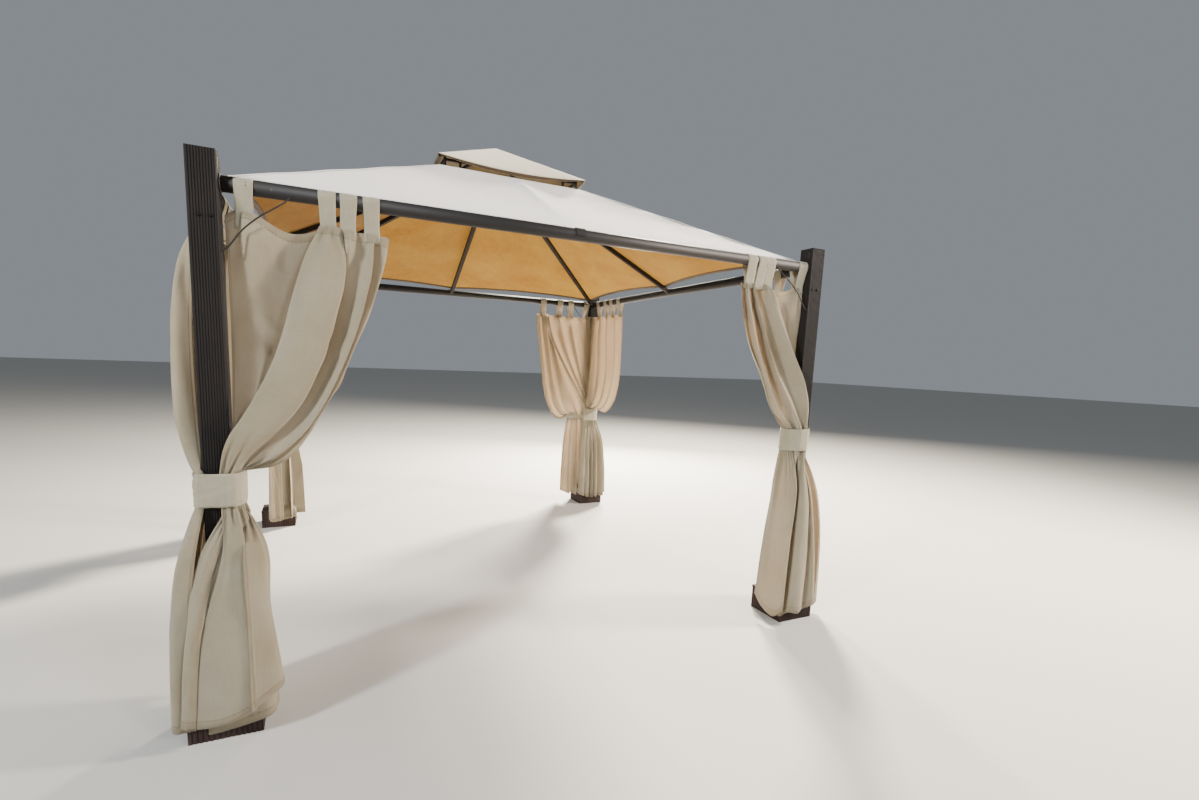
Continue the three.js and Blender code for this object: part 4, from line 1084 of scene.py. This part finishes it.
def hung(curtain, down):
    """(shares, places[row, thread]) of a curtain with pleats from its tabs."""
    across, sway = curtain["far"] - NEAR_EDGE, np.sin(math.pi * stretches(down)[0]) ** 1.5
    places = []
    for _, at, droop, shift, top_deep, mid_deep, hem_deep in pleats(curtain):
        w = (at - NEAR_EDGE + shift * sway) / across
        middle = plain_hang(curtain, down, w, droop)
        beyond, before = (plain_hang(curtain, down, w + step, droop)[:, :2] for step in (0.02, -0.02))
        run = (beyond - before) / np.maximum(np.linalg.norm(beyond - before, axis=1, keepdims=True), 1e-6)
        depth = np.interp(down, PLEAT_KNOTS, [
            top_deep, 0.5 * mid_deep, mid_deep, 0.5 * mid_deep, 0.3 * mid_deep,
            0.3 * hem_deep, 0.75 * hem_deep, hem_deep,
        ])
        middle[:, 0] -= run[:, 1] * depth
        middle[:, 1] += run[:, 0] * depth
        places.append(middle)
    return np.array([pleat[0] for pleat in pleats(curtain)]), np.stack(places, axis=1)


def gathered_cloth(curtain):
    """The curtain's points in rows from the beam to the hem, in its corner's frame."""
    down = np.linspace(0, 1, CURTAIN_ROWS + 1)
    across = np.linspace(0, 1, CURTAIN_COLUMNS + 1)
    shares, places = laid_out(curtain, down) if "threads" in curtain else hung(curtain, down)
    cloth = np.swapaxes(smoothed(np.swapaxes(places, 0, 1), shares, across), 0, 1)
    run_down, run_across = np.gradient(cloth, axis=0), np.gradient(cloth, axis=1)
    facing = np.cross(run_across, run_down)
    facing /= np.maximum(np.linalg.norm(facing, axis=2, keepdims=True), 1e-6)
    cloth += facing * (creases(curtain) + handled(curtain) + pulled(curtain, cloth))[..., None]
    return clear_of_post(cloth)


def creases(curtain):
    """Small creases down the cloth, and close gathers beside the tie, in millimetres."""
    seed = 10 * len(curtain["corner"]) + curtain["far"] / 100
    made = np.zeros((CURTAIN_ROWS + 1, CURTAIN_COLUMNS + 1))
    for j in range(CURTAIN_ROWS + 1):
        t = j / CURTAIN_ROWS
        beside_tie = math.exp(-(((t - TIE_SHARE) / 0.1) ** 2))
        for i in range(CURTAIN_COLUMNS + 1):
            s = i / CURTAIN_COLUMNS
            long = noise.noise(Vector((9 * s + 2 * t, 3 * t, seed)))
            slanting = noise.noise(Vector((24 * s + 9 * t, 8 * t, seed + 7)))
            wander = noise.noise(Vector((6 * s, 3 * t, seed + 3)))
            gathers = beside_tie * math.sin(2 * math.pi * (GATHERS * s + 0.8 * wander))
            made[j, i] = LONG_CREASE * long + SLANT_CREASE * slanting + GATHER_DEEP * gathers
    return made


def cloth_places():
    """Places across and down the flat cloth, in metres, for each column and row of its grid."""
    x = np.linspace(0, CURTAIN_WIDE, CURTAIN_COLUMNS + 1)[None, :]
    y = np.linspace(0, CURTAIN_LONG, CURTAIN_ROWS + 1)[:, None]
    return x, y


def handled(curtain):
    """Short creases that handling leaves in the cloth, in millimetres."""
    x, y = cloth_places()
    chance = np.random.default_rng(curtain["far"] + 17 * len(curtain["corner"]))
    made = 0 * x * y
    for _ in range(HANDLING_CREASES):
        at_x, at_y = chance.uniform(0.04, 0.96), chance.uniform(0.06, 1.94)
        turn, deep = chance.normal(0, 0.3), chance.uniform(-HANDLING_DEEP, HANDLING_DEEP)
        long, wide = chance.uniform(0.06, 0.2), chance.uniform(0.009, 0.018)
        beside = (x - at_x) * math.cos(turn) - (y - at_y) * math.sin(turn)
        along = (x - at_x) * math.sin(turn) + (y - at_y) * math.cos(turn)
        made += deep * np.exp(-((beside / wide) ** 2) - (along / long) ** 2)
    for at_x, at_y, deep in curtain.get("dents", []):
        made += deep * np.exp(-(((x - at_x) / DENT_WIDE) ** 2) - ((y - at_y) / DENT_HIGH) ** 2)
    return made


def pulled(curtain, cloth):
    """The fan of small folds that each tab pulls in the cloth under it, in millimetres."""
    x, y = cloth_places()
    made = 0 * x * y
    wide = 0.026 + 0.22 * y  # a fold's width, which grows down the cloth
    for tab in curtain["tabs"]:
        # The tab is sewn where the cloth's top edge lies nearest to it, on the outer side
        sewn = x[0, np.argmin(np.abs(cloth[0, :, 0] - tab) - 0.3 * cloth[0, :, 1])]
        fan = np.cos(1.4 * math.pi * (x - sewn) / wide) * np.exp(-(((x - sewn) / (1.5 * wide)) ** 2))
        made += FAN_DEEP * fan * np.exp(-y / 0.15) * np.minimum(y / 0.03, 1)
    return made


def clear_of_post(points):
    """Keeps cloth 4 mm outside the post, and lower down outside the foot box."""
    heights = [FOOT_TOP * 1000 + 10, FOOT_TOP * 1000 + 90]
    wide = np.interp(points[..., 2], heights, [FOOT * 500 + 4, POST * 500 + 4])
    away = np.maximum(np.abs(points[..., 0]), np.abs(points[..., 1]))
    grow = np.maximum(wide / np.maximum(away, 1e-6), 1)
    points[..., 0] *= grow
    points[..., 1] *= grow
    return points


def in_cabana(curtain, points):
    """Points (a, o, z) in millimetres at a corner, in the cabana's frame in metres."""
    x, y = CORNERS[curtain["corner"]]
    a, o, z = (points[..., i] / 1000 for i in range(3))
    if curtain["beam"] in ("front", "back"):
        return np.stack([x * HALF - x * a, y * HALF + y * o, z], axis=-1)
    return np.stack([x * HALF + x * o, y * HALF - y * a, z], axis=-1)


def make_curtain(curtain):
    """Makes a curtain and its tabs, and gives back its points across the middle of the tie."""
    name = f"curtain_{curtain['corner']}_on_{curtain['beam']}_beam"
    points = gathered_cloth(curtain)
    places = in_cabana(curtain, points)

    def cloth(s, t):
        return Vector(places[round(t * CURTAIN_ROWS), round(s * CURTAIN_COLUMNS)])

    bm = cloth_grid(CURTAIN_COLUMNS, CURTAIN_ROWS, cloth, CURTAIN_WIDE, CURTAIN_LONG)
    piece = piece_from(bm, f"{name}_cloth", [curtain_cloth])
    add_thickness(piece, CLOTH_THICK)
    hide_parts(name)
    tabs = make_tabs(curtain, f"{name}_tabs")
    return points[round(TIE_SHARE * CURTAIN_ROWS)]


# Tabs: straps of the same cloth over the beam, both ends sewn to the curtain's top
TAB_WIDE, TAB_LONG, TAB_THICK = 66, 0.4, 0.0014
TAB_OFF = 1.2  # the middle of the tab's cloth off the tube
TAB_UNDER = 0.35  # how far it stays on the tube below its middle, in radians
TAB_SEWN = 28  # how far it reaches down the curtain
TAB_LEAN, TAB_CREASE = 5, 1.8
TAB_STEPS = 30


def make_tabs(curtain, name):
    radius, axis = BEAM_RADIUS * 1000 + TAB_OFF, BEAM_Z * 1000
    angles = np.linspace(-TAB_UNDER, math.pi + TAB_UNDER, 20)
    loop = [(radius * math.cos(x), axis + radius * math.sin(x)) for x in angles]
    foot = CURTAIN_TOP * 1000 - TAB_SEWN
    path = [(4, foot), (6, foot + 50), *loop, (-6, foot + 50), (-4, foot)]
    steps = along_path(path, np.linspace(0, 1, TAB_STEPS + 1))

    def strap(k, s, t):
        o, z = steps[round(t * TAB_STEPS)]
        height = min((z - foot) / (axis - foot), 1)
        wide = TAB_WIDE * (1 - 0.08 * math.sin(math.pi * height))
        lean = TAB_LEAN * math.sin(3.1 * k + curtain["far"])
        crease = TAB_CREASE * noise.noise(Vector((4 * s, 7 * t, k + curtain["far"])))
        a = curtain["tabs"][k] + (s - 0.5) * wide + lean * height
        return Vector(in_cabana(curtain, np.array([a, o * (1 + crease / 30), z + crease])))

    bm = bmesh.new()
    for k in range(len(curtain["tabs"])):
        join_into(bm, cloth_grid(8, TAB_STEPS, lambda s, t: strap(k, s, t), TAB_WIDE / 1000, TAB_LONG))
    bmesh.ops.recalc_face_normals(bm, faces=bm.faces)
    tabs = piece_from(bm, name, [tie_cloth])
    add_thickness(tabs, TAB_THICK)
    return tabs


# Ties: a wide band of cloth pulled round each post and the curtains gathered to it
TIE_BAND = {"high": 0.135, "slack": 0.004}
STRAP_BAND = {"high": 0.045, "slack": 0.001}
BAND_OFF, BAND_THICK = 0.0036, 0.0022
BAND_CREASE, BAND_WRINKLE, BAND_BULGE = 0.0042, 0.0016, 0.0018
BAND_STEPS, BAND_ROWS = 96, 14


def hull_path(points):
    """The outline pulled taut round points, anticlockwise."""
    points = [Vector(p) for p in points]
    return [points[i] for i in geometry.convex_hull_2d(points)]


def make_band(name, points, middle, node, held_by, high, slack):
    """A band pulled round points of the plan, its middle at that height."""
    outline = hull_path(points)
    loop = np.array([*outline, outline[0]])
    ring = along_path(loop, np.linspace(0, 1, BAND_STEPS + 1))[:-1]
    centre = ring.mean(axis=0)
    length = float(run_along(loop)[-1])

    def cloth(s, t):
        x, y = ring[round(s * BAND_STEPS) % BAND_STEPS]
        out = Vector((x - centre[0], y - centre[1])).normalized()
        turn = 2 * math.pi * s
        around = Vector((math.cos(turn), math.sin(turn), 6 * t))
        large = noise.noise(Vector((*(around.xy * 0.8), 7 * t + 1.6 * math.sin(turn) + middle)))
        small = noise.noise(Vector((*(around.xy * 2.6), 9 * t + middle)))
        away = BAND_OFF + BAND_CREASE * large + BAND_WRINKLE * small + BAND_BULGE * math.sin(math.pi * t)
        z = middle + high * (0.5 - t) + slack * math.sin(turn + 1) + 0.002 * noise.noise(around * 1.7)
        return Vector((x + out.x * away, y + out.y * away, z))

    bm = cloth_grid(BAND_STEPS, BAND_ROWS, cloth, length, high)
    bmesh.ops.remove_doubles(bm, verts=bm.verts, dist=0.0001)
    bmesh.ops.recalc_face_normals(bm, faces=bm.faces)
    band = piece_from(bm, name, [tie_cloth])
    add_thickness(band, BAND_THICK)
    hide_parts(node)


def shared_out(curtain, row):
    """The places in plan of the gathered points that the post's tie holds, and of those in the
    curtain's own strap."""
    cut = round(curtain.get("parted", 0) * CURTAIN_COLUMNS) if "free" in curtain else len(row)
    places = in_cabana(curtain, row)[:, :2]
    return places[:cut], places[cut:]


def make_ties(bundles):
    """bundles has each curtain with its points across the middle of the tie."""
    for corner, (x, y) in CORNERS.items():
        here = [(curtain, row) for curtain, row in bundles if curtain["corner"] == corner]
        post = [(x * HALF + i * POST / 2, y * HALF + j * POST / 2) for i in (-1, 1) for j in (-1, 1)]
        cloth = np.concatenate([shared_out(curtain, row)[0] for curtain, row in here])
        height = max(curtain["tie"] for curtain, _ in here) / 1000
        make_band(f"curtain_tie_{corner}", [*post, *cloth], height, f"tie_{corner}",
                  f"ridged_post_{corner}", **TIE_BAND)
    for curtain, row in bundles:
        if "free" not in curtain:
            continue
        corner = curtain["corner"]
        # The strap reaches back to the post, where it is fixed
        fixing = in_cabana(curtain, np.array([[POST * 500 + 6, o, 0] for o in (3, -3)]))[:, :2]
        make_band(f"curtain_strap_{corner}", [*fixing, *shared_out(curtain, row)[1]], curtain["tie"] / 1000,
                  f"strap_{corner}", f"curtain_tie_{corner}", **STRAP_BAND)


# Stage and light
def make_stage():
    bm = bmesh.new()
    bmesh.ops.create_grid(bm, x_segments=1, y_segments=1, size=60)
    mesh = bpy.data.meshes.new("studio_floor")
    bm.to_mesh(mesh)
    bm.free()
    floor = bpy.data.objects.new("studio_floor", mesh)
    floor.location.z = -0.0005
    bpy.context.scene.collection.objects.link(floor)
    paint = new_material("pale_studio_floor")
    shader = add_node(paint, "BsdfPrincipled", {"Base Color": linear("#b6b4ae"), "Roughness": 0.9})[0]
    add_node(paint, "OutputMaterial", {"Surface": shader})
    mesh.materials.append(paint)


def add_area_light(name, place, target, size, power, colour):
    data = bpy.data.lights.new(name, "AREA")
    data.shape = "DISK"
    data.size = size
    data.energy = power
    data.color = linear(colour)[:3]
    light = bpy.data.objects.new(name, data)
    light.location = place
    aim = Vector(target) - Vector(place)
    light.rotation_euler = aim.to_track_quat("-Z", "Y").to_euler()
    bpy.context.scene.collection.objects.link(light)


def make_lights():
    world = bpy.data.worlds.new("studio")
    bpy.context.scene.world = world
    world.use_nodes = True
    sky = world.node_tree.nodes["Background"]
    sky.inputs["Color"].default_value = linear("#c9d0d8")
    sky.inputs["Strength"].default_value = 0.42
    add_area_light("sun_side", (5.5, 5.0, 7.0), (0, 0, 1.5), 1.4, 4400, "#fff4e2")
    add_area_light("right_front", (7.0, -3.5, 4.0), (0.5, 0, 1.3), 1.2, 1350, "#fff0e2")
    add_area_light("left_key", (-7.5, -4.6, 4.6), (0, -0.5, 1.2), 0.9, 1020, "#f6f8fb")
    add_area_light("front_fill", (2.5, -8.0, 4.6), (-0.3, 0, 1.2), 1.8, 320, "#f2f6ff")
    add_area_light("behind_corner", (3.6, 4.6, 2.6), (1.55, 1.55, 1.4), 1.0, 1300, "#fff6ea")


make_camera()
make_posts()
make_foot_boxes()
make_beams()
paint_frame_bars()
make_bolts()
make_slots()
make_roof()
make_vent_cap()
make_ties([(curtain, make_curtain(curtain)) for curtain in CURTAINS])
make_stage()
make_lights()
